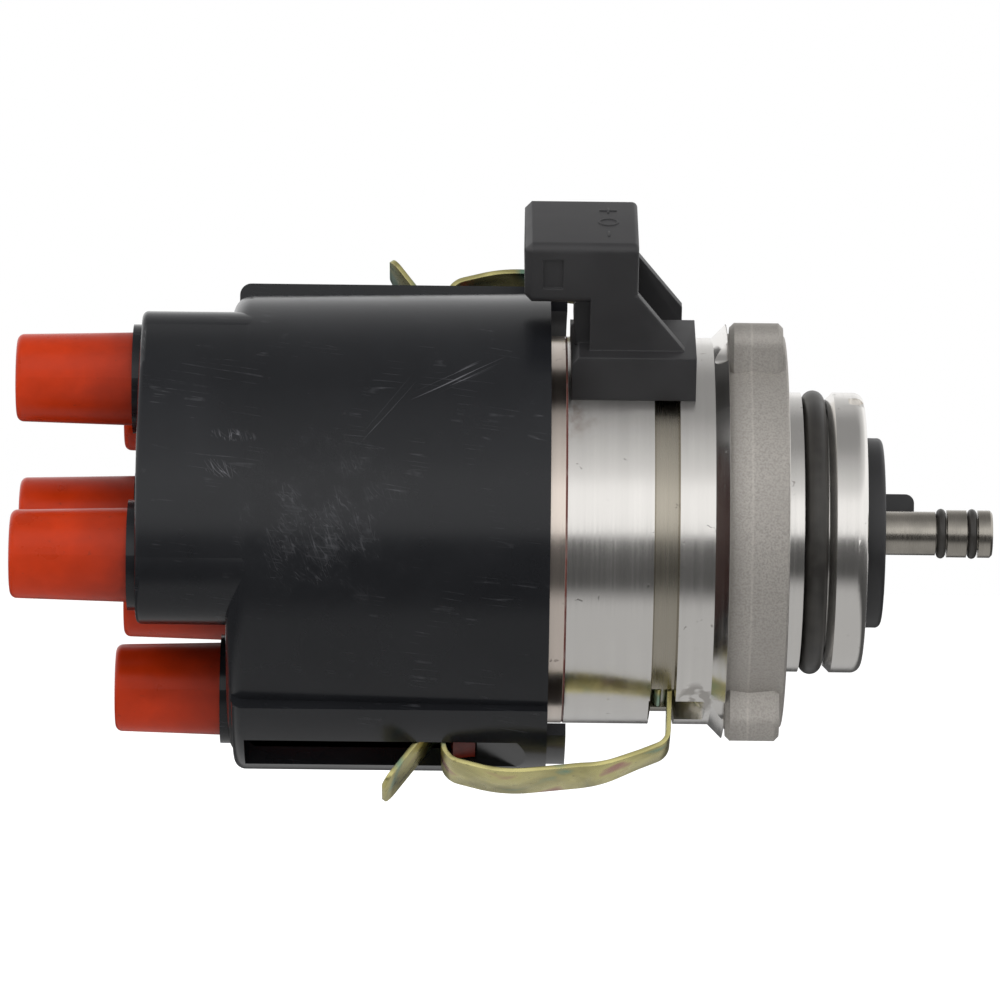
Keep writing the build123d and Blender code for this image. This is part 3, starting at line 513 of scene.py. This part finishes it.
def body_metal(looks):
    """Turned aluminium, with the cast skin of the flange and the painted ring by the shield."""
    material, tree, shader = start_material("Body aluminium")
    place = tree.coordinates()
    parts = tree.new("ShaderNodeSeparateXYZ")
    tree.link(place, parts.inputs["Vector"])
    across = tree.new("ShaderNodeCombineXYZ")
    for key in ("Y", "Z"):
        tree.link(parts.outputs[key], across.inputs[key])
    length = tree.new("ShaderNodeVectorMath", "LENGTH")
    tree.link(across.outputs["Vector"], length.inputs[0])
    x, radius = parts.outputs["X"], length.outputs["Value"]
    cast = tree.product(
        tree.maths("GREATER_THAN", x, CAST_FLANGE_X[0]),
        tree.maths("LESS_THAN", x, CAST_FLANGE_X[1]),
        tree.maths("GREATER_THAN", radius, CAST_FLANGE_RADIUS),
    )
    turned, smooth, fine = turned_skin(tree, place, x, radius, looks.machined)
    skin, coarse = cast_skin(tree, place, x, looks.cast)
    painted = paint_line(tree, place, x, radius)

    colour = tree.mixed(painted, tree.mixed(cast, turned, skin), RED_PAINT)
    tree.link(colour, shader.inputs["Base Color"])
    tree.link(tree.mixed(cast, smooth, (0.50, 0.50, 0.50)), shader.inputs["Roughness"])
    dull = tree.total(tree.product(painted, 0.9), tree.product(cast, 0.35))
    tree.link(tree.maths("SUBTRACT", 1.0, dull), shader.inputs["Metallic"])
    shader.inputs["Anisotropic"].default_value = 0.35
    direction = tree.new("ShaderNodeTangent")
    direction.direction_type = "RADIAL"
    direction.axis = "X"
    tree.link(direction.outputs["Tangent"], shader.inputs["Tangent"])
    tree.bumped(shader, tree.mixed(cast, fine, coarse), 0.5, 0.12 * MM)
    return material


def scratches(tree, place, turn, size, width, curl=0.15):
    """Mask of scratches that run at an angle about Y."""
    turned = (0.0, turn, 0.0)
    lines = tree.effect(hairlines(), place, Turn=turned, Size=size, Width=width, Curl=curl)
    return lines.outputs["Mask"]


def shield_scuffs(tree, place, clouds, side):
    """Mask of the shield's marks: long scratches, tufts, a scuffed patch and faint lines."""
    first = tree.patch(place, *FIRST_SCRATCH, FIRST_TURN, 0.5)
    second = tree.patch(place, *SECOND_SCRATCH, SECOND_TURN, 0.4)
    tuft = tree.patch(place, *HIGH_TUFT, 0.1, 0.2)
    tuft_low = tree.patch(place, *LOW_TUFT, 0.3, 0.2)
    long_first = scratches(tree, place, FIRST_TURN, (0.040, 0.05, 0.0006), 0.024, 0.2)
    long_second = scratches(tree, place, SECOND_TURN, (0.040, 0.05, 0.0006), 0.022, 0.2)
    curled = scratches(tree, place, 0.75, (0.0060, 0.05, 0.0009), 0.018, 1.2)
    upright = scratches(tree, place, 1.25, (0.0080, 0.05, 0.0008), 0.017, 0.7)
    everywhere = scratches(tree, place, 0.12, (0.030, 0.03, 0.0013), 0.020)
    short = tree.maths("MAXIMUM", curled, upright)
    broken = tree.fitted(clouds, 0.46, 0.62)
    return tree.chain(
        "MAXIMUM",
        tree.product(long_first, first),
        tree.product(long_second, second),
        tree.product(short, tree.maths("MAXIMUM", tuft, tuft_low)),
        tree.product(short, side, 0.55, broken),
        tree.product(everywhere, tree.fitted(clouds, 0.55, 0.70, 0.0, 0.30)),
    )


def shield_plastic(looks):
    """Glossy black moulding, scuffed and scratched on its handled side."""
    material, tree, shader = start_material("Shield plastic")
    shader.inputs["Specular IOR Level"].default_value = 0.36
    place = tree.coordinates()
    side = tree.patch(place, *HANDLED_SIDE, 0.5, 0.0)
    clouds = tree.noise(place, 170.0, 3.0, 0.6)
    marks = shield_scuffs(tree, place, clouds, side)
    haze = tree.fitted(tree.noise(place, 38.0, 4.0, 0.6), 0.4, 0.7)
    rubbed = tree.product(side, tree.fitted(clouds, 0.42, 0.66))

    colour = tree.mixed(haze, tuple(looks.shield), shade(looks.shield, 1.35))
    colour = tree.mixed(tree.product(rubbed, 0.35), colour, RUBBED_BLACK)
    colour = tree.mixed(tree.product(marks, 0.42), colour, SCRATCH_GREY)
    tree.link(colour, shader.inputs["Base Color"])
    rough = tree.fitted(haze, 0.0, 1.0, 0.20, 0.27)
    rough = tree.total(rough, tree.product(rubbed, 0.14), tree.product(marks, 0.2))
    tree.link(rough, shader.inputs["Roughness"])
    height = tree.maths("SUBTRACT", tree.noise(place, 90.0, 2.0), tree.product(marks, 0.3))
    tree.bumped(shader, height, 0.10, 0.10 * MM)
    return material


def cap_plastic(name, looks, foot):
    """Glossy orange red thermoset, darker at the foot of a tower and on the cap's rim with grime
    and painted shade.
    """
    material, tree, shader = start_material(name)
    shader.inputs["Specular IOR Level"].default_value = 0.22
    place = tree.coordinates()
    parts = tree.new("ShaderNodeSeparateXYZ")
    tree.link(place, parts.inputs["Vector"])
    x = parts.outputs["X"]
    cloud = tree.noise(place, 110.0, 4.0, 0.6)
    # Darker towards each tower's foot by the shield: partly grime, partly painted shade standing in
    # for occlusion.
    drift = tree.product(tree.noise(place, 260.0, 4.0, 0.65), 9.0 * MM)
    inward = tree.fitted(tree.total(x, drift), foot - 9.0 * MM, foot + 7.0 * MM)
    grime_and_shade = tree.product(inward, tree.fitted(cloud, 0.25, 0.60, 0.35, 1.0))
    specks = tree.fitted(tree.noise(place, 900.0, 2.0), 0.70, 0.76)

    soft_cloud = tree.fitted(cloud, 0.3, 0.7)
    colour = tree.mixed(soft_cloud, shade(looks.towers, 0.82), shade(looks.towers, 1.12))
    colour = tree.mixed(tree.product(grime_and_shade, 0.8), colour, TOWER_GRIME_AND_SHADE)
    colour = tree.mixed(tree.product(specks, 0.35), colour, DARK_SPECK)
    # The cap's rim inside the shield is darkened nearly black: grime, and painted shade where the
    # shield shades it.
    colour = tree.mixed(tree.fitted(x, *CAP_RIM_X, 0.0, 0.92), colour, RIM_GRIME_AND_SHADE)
    tree.link(colour, shader.inputs["Base Color"])
    rough = tree.total(tree.fitted(cloud, 0.3, 0.7, 0.26, 0.36), tree.product(grime_and_shade, 0.15))
    tree.link(rough, shader.inputs["Roughness"])
    tree.bumped(shader, tree.noise(place, 420.0, 3.0), 0.08, 0.08 * MM)
    return material


def passivated_steel(looks):
    """Yellow passivated spring steel whose film turns pink and blue green in patches."""
    material, tree, shader = start_material("Passivated spring steel")
    place = tree.coordinates()
    ramp = tree.new("ShaderNodeValToRGB")
    stops = ramp.color_ramp.elements
    stops[0].position, stops[0].color = 0.30, (*FILM_GREEN, 1)
    stops[1].position, stops[1].color = 0.72, (*FILM_PINK, 1)
    for position, share in ((0.42, 0.85), (0.52, 1.0), (0.62, 1.2)):
        stops.new(position).color = (*shade(looks.passivated, share), 1)
    tree.link(tree.noise(place, 70.0, 2.0, 0.5, 1.2), ramp.inputs["Fac"])
    rounded = tree.rounded(0.2 * MM)
    bare = tree.product(tree.edge_mask(rounded, 0.80, 0.97), 0.45)
    spots = tree.fitted(tree.noise(place, 700.0, 2.0), 0.66, 0.74)
    colour = tree.mixed(bare, ramp.outputs["Color"], BARE_STEEL)
    colour = tree.mixed(tree.product(spots, 0.4), colour, DARK_SPOT)
    tree.link(colour, shader.inputs["Base Color"])
    shader.inputs["Metallic"].default_value = 1.0
    streak = tree.noise(place, 600.0, 3.0)
    tree.link(tree.fitted(streak, 0.3, 0.7, 0.24, 0.36), shader.inputs["Roughness"])
    bump = tree.bumped(shader, streak, 0.06, 0.05 * MM)
    tree.link(rounded, bump.inputs["Normal"])
    return material


def matte_finish(name, base, rough_low, rough_high):
    """Matte surface with a fine grain and slightly paler edges."""
    material, tree, shader = start_material(name)
    shader.inputs["Specular IOR Level"].default_value = 0.6
    place = tree.coordinates()
    grain = tree.effect(cast_grain(), place, Scale=3200.0)
    cloud = tree.fitted(tree.noise(place, 70.0, 4.0), 0.35, 0.7)
    rounded = tree.rounded(0.35 * MM)
    wear = tree.product(tree.edge_mask(rounded, 0.80, 0.98), 0.5)
    colour = tree.mixed(wear, tree.mixed(cloud, base, shade(base, 1.45)), shade(base, 2.6))
    tree.link(colour, shader.inputs["Base Color"])
    tree.link(tree.fitted(cloud, 0, 1, rough_low, rough_high), shader.inputs["Roughness"])
    bump = tree.bumped(shader, grain.outputs["Height"], 0.10, 0.05 * MM)
    tree.link(rounded, bump.inputs["Normal"])
    return material


def rubber(name):
    """Satin black rubber with a faint dusty bloom."""
    material, tree, shader = start_material(name)
    place = tree.coordinates()
    bloom = tree.fitted(tree.noise(place, 220.0, 4.0), 0.4, 0.75)
    colour = tree.mixed(bloom, RUBBER_BLACK, RUBBER_BLOOM)
    tree.link(colour, shader.inputs["Base Color"])
    tree.link(tree.fitted(bloom, 0, 1, 0.34, 0.50), shader.inputs["Roughness"])
    tree.bumped(shader, tree.noise(place, 1500.0, 2.0), 0.12, 0.03 * MM)
    return material


def turned_metal(name, base, density, rough_low, rough_high):
    """Metal that was turned or ground about the shaft."""
    material, tree, shader = start_material(name)
    place = tree.coordinates()
    lines = tree.effect(turning_lines(), place, Density=density)
    stain = tree.fitted(tree.noise(place, 160.0, 4.0, 0.6), 0.35, 0.7)
    tree.link(tree.mixed(stain, shade(base, 0.72), base), shader.inputs["Base Color"])
    shader.inputs["Metallic"].default_value = 1.0
    rough = tree.fitted(lines.outputs["Height"], 0.3, 0.7, rough_low, rough_high)
    tree.link(rough, shader.inputs["Roughness"])
    bump = tree.bumped(shader, lines.outputs["Height"], 0.25, 0.02 * MM)
    tree.link(tree.rounded(0.2 * MM), bump.inputs["Normal"])
    return material


def dress(material, *names):
    """Gives CAD nodes their finish."""
    for name in names:
        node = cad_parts[name]
        node.data.materials.clear()
        node.data.materials.append(material)


# ---- Geometry helpers ----
def deselect():
    """Nothing stays selected, so an operator acts only on what follows."""
    if bpy.context.object and bpy.context.object.mode != "OBJECT":
        bpy.ops.object.mode_set(mode="OBJECT")
    bpy.ops.object.select_all(action="DESELECT")


def pick(piece):
    """Selects one piece alone and makes it the active one."""
    deselect()
    piece.select_set(True)
    bpy.context.view_layer.objects.active = piece


def finish_piece(piece, name, body, material, replaced=()):
    """Names a piece, rests its origin at zero, gives it its finish and lets it ride on its body."""
    pick(piece)
    bpy.ops.object.transform_apply(location=True, rotation=True, scale=True)
    piece.name = name
    piece.data.name = name
    piece.data.materials.clear()
    piece.data.materials.append(material)
    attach(piece, body)
    for node in replaced:
        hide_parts(node)


def choose(piece, wanted):
    """Selects the faces whose middle the test accepts, and stays in edit mode."""
    bpy.ops.object.mode_set(mode="EDIT")
    bpy.ops.mesh.select_mode(type="FACE")
    bpy.ops.mesh.select_all(action="DESELECT")
    bpy.ops.object.mode_set(mode="OBJECT")
    for face in piece.data.polygons:
        face.select = wanted(face.center)
    bpy.ops.object.mode_set(mode="EDIT")


def smooth_by_angle(piece, angle):
    """Smooth shading that keeps edges sharper than the angle, in degrees."""
    pick(piece)
    bpy.ops.object.shade_smooth_by_angle(angle=math.radians(angle))


def roll_edges(piece, width, segments, angle):
    """Rounds off the edges that turn by more than the angle, in degrees."""
    pick(piece)
    modifier = piece.modifiers.new("Rolled edges", "BEVEL")
    modifier.width = width
    modifier.segments = segments
    modifier.limit_method = "ANGLE"
    modifier.angle_limit = math.radians(angle)
    bpy.ops.object.modifier_apply(modifier=modifier.name)


def seal_ring(name, body, material, node, wire, flash):
    """Rubber ring in its groove, with the thin flash line its mould leaves round the outside."""
    low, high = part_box(node)
    outer = high[1]
    deselect()
    bpy.ops.mesh.primitive_torus_add(
        location=((low[0] + high[0]) / 2, 0, 0),
        rotation=(0, math.radians(90), 0),
        major_segments=144,
        minor_segments=48,
        major_radius=outer - flash - wire,
        minor_radius=wire,
    )
    ring = bpy.context.object
    edge = outer - flash - wire * (1 - math.cos(FLASH_HALF_ANGLE))
    choose(ring, lambda centre: math.hypot(centre.x, centre.y) > edge - flash / 2)
    bpy.ops.mesh.extrude_region_shrink_fatten(TRANSFORM_OT_shrink_fatten={"value": flash})
    bpy.ops.transform.resize(value=(FLASH_NARROWING, 1, 1))
    bpy.ops.object.mode_set(mode="OBJECT")
    smooth_by_angle(ring, 50)
    finish_piece(ring, name, body, material, (node,))


def softened(node_name, name, body, material, round_off=0.0):
    """Copy of a CAD node that takes its place, with its sharp edges rolled over where asked."""
    pick(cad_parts[node_name])
    bpy.ops.object.duplicate(linked=False)
    piece = bpy.context.object
    piece.parent = None
    bpy.ops.object.mode_set(mode="EDIT")
    bpy.ops.mesh.select_all(action="SELECT")
    bpy.ops.mesh.remove_doubles(threshold=0.002 * MM)
    if round_off:
        bpy.ops.mesh.dissolve_limited(angle_limit=math.radians(0.5))
    bpy.ops.object.mode_set(mode="OBJECT")
    if round_off:
        roll_edges(piece, round_off, 3, 38)
    smooth_by_angle(piece, 30)
    finish_piece(piece, name, body, material, (node_name,))
    return piece


def raised_bar(middle, turn, size):
    """Straight stroke of a mark, with its edges rolled over."""
    deselect()
    bpy.ops.mesh.primitive_cube_add(size=1.0, location=middle, rotation=turn, scale=size)
    piece = bpy.context.object
    bpy.ops.object.transform_apply(location=False, rotation=False, scale=True)
    roll_edges(piece, 0.09 * MM, 2, 30)
    return piece


def pin_marks(material):
    """Raised plus, nought and minus over the three contacts of the plug."""
    outward = Vector((0, -math.cos(PLUG_TURN), math.sin(PLUG_TURN)))
    sideways = Vector((0, math.sin(PLUG_TURN), math.cos(PLUG_TURN)))
    turn = Matrix((Vector((1, 0, 0)), sideways, outward)).transposed().to_euler()
    middle = Vector((PIN_MARKS_X, 0, 0)) + outward * PLUG_TOP_RADIUS
    pitch = sideways * PIN_PITCH
    stroke, breadth, rise = 0.42 * MM, 2.2 * MM, 0.30 * MM
    upright = raised_bar(middle + pitch, turn, (3.0 * MM, stroke, rise))
    crossbar = raised_bar(middle + pitch, turn, (stroke, breadth, rise * 0.98))
    minus = raised_bar(middle - pitch, turn, (stroke, breadth, rise))
    deselect()
    bpy.ops.mesh.primitive_torus_add(
        location=middle,
        rotation=turn,
        major_segments=48,
        minor_segments=12,
        major_radius=1.40 * MM,
        minor_radius=stroke / 2,
    )
    nought = bpy.context.object
    nought.scale = (1.12, 0.96, 0.75)
    bpy.ops.object.transform_apply(location=False, rotation=False, scale=True)
    marks = {
        "Mark_plus": upright,
        "Mark_plus_bar": crossbar,
        "Mark_minus": minus,
        "Mark_nought": nought,
    }
    for name, piece in marks.items():
        smooth_by_angle(piece, 40)
        finish_piece(piece, name, "body", material)


# ---- Studio ----
def pale_floor(middle_x):
    """White to the camera, and in gloss a dark ring between its middle and its rim."""
    material, tree, shader = start_material("Pale floor")
    shader.inputs["Roughness"].default_value = 0.9
    place = tree.coordinates()
    pale = tree.mixed(tree.noise(place, 30.0, 2.0), (0.80, 0.80, 0.80), (0.84, 0.84, 0.84))
    path = tree.new("ShaderNodeLightPath")
    glossy = path.outputs["Is Glossy Ray"]
    away = tree.new("ShaderNodeVectorMath", "DISTANCE")
    away.inputs[1].default_value = (middle_x, 0.0, 0.0)
    tree.link(place, away.inputs[0])
    inner = tree.fitted(away.outputs["Value"], 0.11, 0.15, 0.44, 0.03)
    outer = tree.fitted(away.outputs["Value"], 1.3, 1.9)
    shine = tree.product(glossy, tree.maths("MAXIMUM", inner, outer))
    seen = tree.maths("MAXIMUM", path.outputs["Is Camera Ray"], path.outputs["Is Transmission Ray"])
    tree.link(tree.mixed(glossy, pale, (0.02, 0.02, 0.02)), shader.inputs["Base Color"])
    shader.inputs["Emission Color"].default_value = (1, 1, 1, 1)
    tree.link(tree.total(tree.product(seen, 0.60), shine), shader.inputs["Emission Strength"])
    return material


def add_floor(middle_x, height):
    """Floor far wider than the part."""
    deselect()
    bpy.ops.mesh.primitive_plane_add(size=12.0, location=(0, 0, height))
    floor = bpy.context.object
    floor.name = "Floor"
    floor.data.materials.append(pale_floor(middle_x))


def add_lamp(name, station, power):
    """Soft rectangular lamp aimed at the middle of the part, left out of reflections."""
    data = bpy.data.lights.new(name, "AREA")
    data.shape = "RECTANGLE"
    data.size, data.size_y = LAMP_SIZE
    data.energy = power
    lamp = bpy.data.objects.new(name, data)
    bpy.context.scene.collection.objects.link(lamp)
    lamp.location = station
    way = Vector(LAMP_TARGET) - Vector(station)
    lamp.rotation_euler = way.to_track_quat("-Z", "Y").to_euler()
    lamp.visible_glossy = False


def surround(scene):
    """World that lights softly, shows white to the camera, and has a dim ceiling for gloss."""
    world = bpy.data.worlds.new("Surroundings")
    scene.world = world
    world.use_nodes = True
    tree = Tree(world.node_tree)
    back = tree.nodes["Background"]
    path = tree.new("ShaderNodeLightPath")
    way = tree.new("ShaderNodeSeparateXYZ")
    tree.link(tree.new("ShaderNodeTexCoord").outputs["Generated"], way.inputs["Vector"])
    ceiling = tree.new("ShaderNodeValToRGB")
    stops = ceiling.color_ramp.elements
    stops[0].position, stops[0].color = 0.42, (1, 1, 1, 1)
    stops[1].position, stops[1].color = 0.96, (0.28, 0.28, 0.28, 1)
    for position, level in ((0.57, 0.70), (0.73, 0.57), (0.87, 0.43)):
        stops.new(position).color = (level, level, level, 1)
    tree.link(way.outputs["Z"], ceiling.inputs["Fac"])
    shine = tree.mixed(path.outputs["Is Glossy Ray"], (1, 1, 1), ceiling.outputs["Color"])
    tree.link(shine, back.inputs["Color"])
    strength = tree.fitted(path.outputs["Is Diffuse Ray"], 0, 1, 1.0, 0.55)
    tree.link(strength, back.inputs["Strength"])


def add_camera(scene, looks):
    """Camera level with the shaft, a little turned about its own axis."""
    data = bpy.data.cameras.new("Camera")
    camera = bpy.data.objects.new("Camera", data)
    scene.collection.objects.link(camera)
    data.lens = looks.lens
    data.sensor_width = 36.0
    data.clip_end = 20.0
    station = Vector((CAMERA_X, -looks.camera_distance, CAMERA_HEIGHT))
    target = Vector((CAMERA_TARGET_X, 0.0, CAMERA_HEIGHT))
    aim = (target - station).to_track_quat("-Z", "Y").to_matrix().to_4x4()
    roll = Matrix.Rotation(CAMERA_ROLL, 4, "Z")
    camera.matrix_world = Matrix.Translation(station) @ aim @ roll
    scene.camera = camera


# ---- Operators ----
class DISTRIBUTOR_OT_body(bpy.types.Operator):
    """Finish the body, its bearings and its rubber ring"""

    bl_idname = "distributor.body"
    bl_label = "Body"

    def execute(self, context):
        looks = context.scene.distributor_looks
        dress(body_metal(looks), "housing")
        black = rubber("Ring rubber")
        dress(black, "shaft_seal")
        seal_ring("Body_seal", "body", black, "body_ring", 1.98 * MM, 0.02 * MM)
        bronze = turned_metal("Bush bronze", (0.55, 0.33, 0.13), 2000.0, 0.35, 0.5)
        dress(bronze, "lower_bush", "upper_bush")
        return {"FINISHED"}


class DISTRIBUTOR_OT_shaft(bpy.types.Operator):
    """Finish the shaft train and the parts of plated steel"""

    bl_idname = "distributor.shaft"
    bl_label = "Shaft train"

    def execute(self, context):
        steel = turned_metal("Ground steel", (0.51, 0.475, 0.42), 2600.0, 0.20, 0.32)
        dress(steel, "shaft", "cross_pin", "lower_washer", "upper_washer", "wheel_clip")
        plated = turned_metal("Plated steel", (0.58, 0.56, 0.50), 1500.0, 0.28, 0.42)
        dress(plated, "trigger_wheel", "base_plate", "plate_screw_1", "plate_screw_2")
        dress(plated, "lower_clip_pin", "upper_clip_pin")
        spring = softened("brush_spring", "Brush_spring_coil", "body", plated)
        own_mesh(spring)
        black = matte_finish("Blackened steel", (0.016, 0.016, 0.017), 0.42, 0.55)
        softened("drive_coupling", "Drive_dog", "shaft_train", black, 0.25 * MM)
        rings = rubber("Pilot ring rubber")
        for number in (1, 2):
            ring = f"pilot_ring_{number}"
            seal_ring(f"Pilot_seal_{number}", "shaft_train", rings, ring, 0.78 * MM, 0.02 * MM)
        return {"FINISHED"}


class DISTRIBUTOR_OT_cap(bpy.types.Operator):
    """Finish the cap, its terminals, the rotor and the shield"""

    bl_idname = "distributor.cap"
    bl_label = "Cap and shield"

    def execute(self, context):
        looks = context.scene.distributor_looks
        raised = cap_plastic("Raised tower plastic", looks, HIGH_TOWER_FOOT_X)
        dress(raised, "cap_centre_tower", "cap_tower_1", "cap_tower_2")
        low = cap_plastic("Cap plastic", looks, LOW_TOWER_FOOT_X)
        dress(low, "cap", "rotor", "cap_tower_3", "cap_tower_4", "cap_tower_5")
        dress(shield_plastic(looks), "shield")
        brass = turned_metal("Contact brass", (0.70, 0.50, 0.20), 1800.0, 0.25, 0.4)
        dress(brass, "rotor_blade", "centre_terminal")
        dress(brass, *(f"cap_terminal_{number}" for number in range(1, 6)))
        dress(brass, *(f"contact_pin_{number}" for number in range(1, 4)))
        dress(matte_finish("Brush carbon", (0.02, 0.02, 0.02), 0.5, 0.7), "brush")
        return {"FINISHED"}


class DISTRIBUTOR_OT_plug(bpy.types.Operator):
    """Finish the plug, the Hall sender and the dust cover"""

    bl_idname = "distributor.plug"
    bl_label = "Plug"

    def execute(self, context):
        looks = context.scene.distributor_looks
        plastic = matte_finish("Plug plastic", tuple(looks.plug), 0.42, 0.55)
        dress(plastic, "hall_sender", "dust_cover")
        softened("connector", "Plug_moulding", "body", plastic, 0.22 * MM)
        pin_marks(plastic)
        return {"FINISHED"}


class DISTRIBUTOR_OT_clips(bpy.types.Operator):
    """Finish the spring clips"""

    bl_idname = "distributor.clips"
    bl_label = "Spring clips"

    def execute(self, context):
        steel = passivated_steel(context.scene.distributor_looks)
        softened("lower_clip", "Lower_spring_clip", "lower_clip", steel, 0.16 * MM)
        softened("upper_clip", "Upper_spring_clip", "upper_clip", steel, 0.16 * MM)
        return {"FINISHED"}


class DISTRIBUTOR_OT_stage(bpy.types.Operator):
    """Set the floor, the lamps, the surroundings and the camera"""

    bl_idname = "distributor.stage"
    bl_label = "Studio"

    def execute(self, context):
        looks = context.scene.distributor_looks
        low, high = cad_box
        add_floor((low[0] + high[0]) / 2, low[2] - looks.floor_drop)
        add_lamp("Key_softbox", (-0.25, -0.8, 0.75), 9.0)
        add_lamp("Back_softbox", (0.15, 0.9, 0.8), 5.0)
        surround(context.scene)
        add_camera(context.scene, looks)
        context.scene.view_settings.view_transform = "Standard"
        return {"FINISHED"}


OPERATORS = (
    DISTRIBUTOR_OT_body,
    DISTRIBUTOR_OT_shaft,
    DISTRIBUTOR_OT_cap,
    DISTRIBUTOR_OT_plug,
    DISTRIBUTOR_OT_clips,
    DISTRIBUTOR_OT_stage,
)


class DISTRIBUTOR_PT_panel(bpy.types.Panel):
    """Panel that lists the distributor's settings and steps"""

    bl_idname = "DISTRIBUTOR_PT_panel"
    bl_label = "Ignition distributor"
    bl_space_type = "VIEW_3D"
    bl_region_type = "UI"
    bl_category = "Distributor"

    def draw(self, context):
        looks = context.scene.distributor_looks
        for name in DistributorLooks.__annotations__:
            self.layout.prop(looks, name)
        for operator in OPERATORS:
            self.layout.operator(operator.bl_idname)


def register():
    """Registers the settings, the operators and the panel."""
    bpy.utils.register_class(DistributorLooks)
    bpy.types.Scene.distributor_looks = PointerProperty(type=DistributorLooks)
    for operator in OPERATORS:
        bpy.utils.register_class(operator)
    bpy.utils.register_class(DISTRIBUTOR_PT_panel)


def unregister():
    """Takes back what register added."""
    bpy.utils.unregister_class(DISTRIBUTOR_PT_panel)
    for operator in reversed(OPERATORS):
        bpy.utils.unregister_class(operator)
    del bpy.types.Scene.distributor_looks
    bpy.utils.unregister_class(DistributorLooks)


def main():
    """Builds the scene."""
    register()
    bpy.ops.distributor.body()
    bpy.ops.distributor.shaft()
    bpy.ops.distributor.cap()
    bpy.ops.distributor.plug()
    bpy.ops.distributor.clips()
    bpy.ops.distributor.stage()


if __name__ == "__main__":
    main()
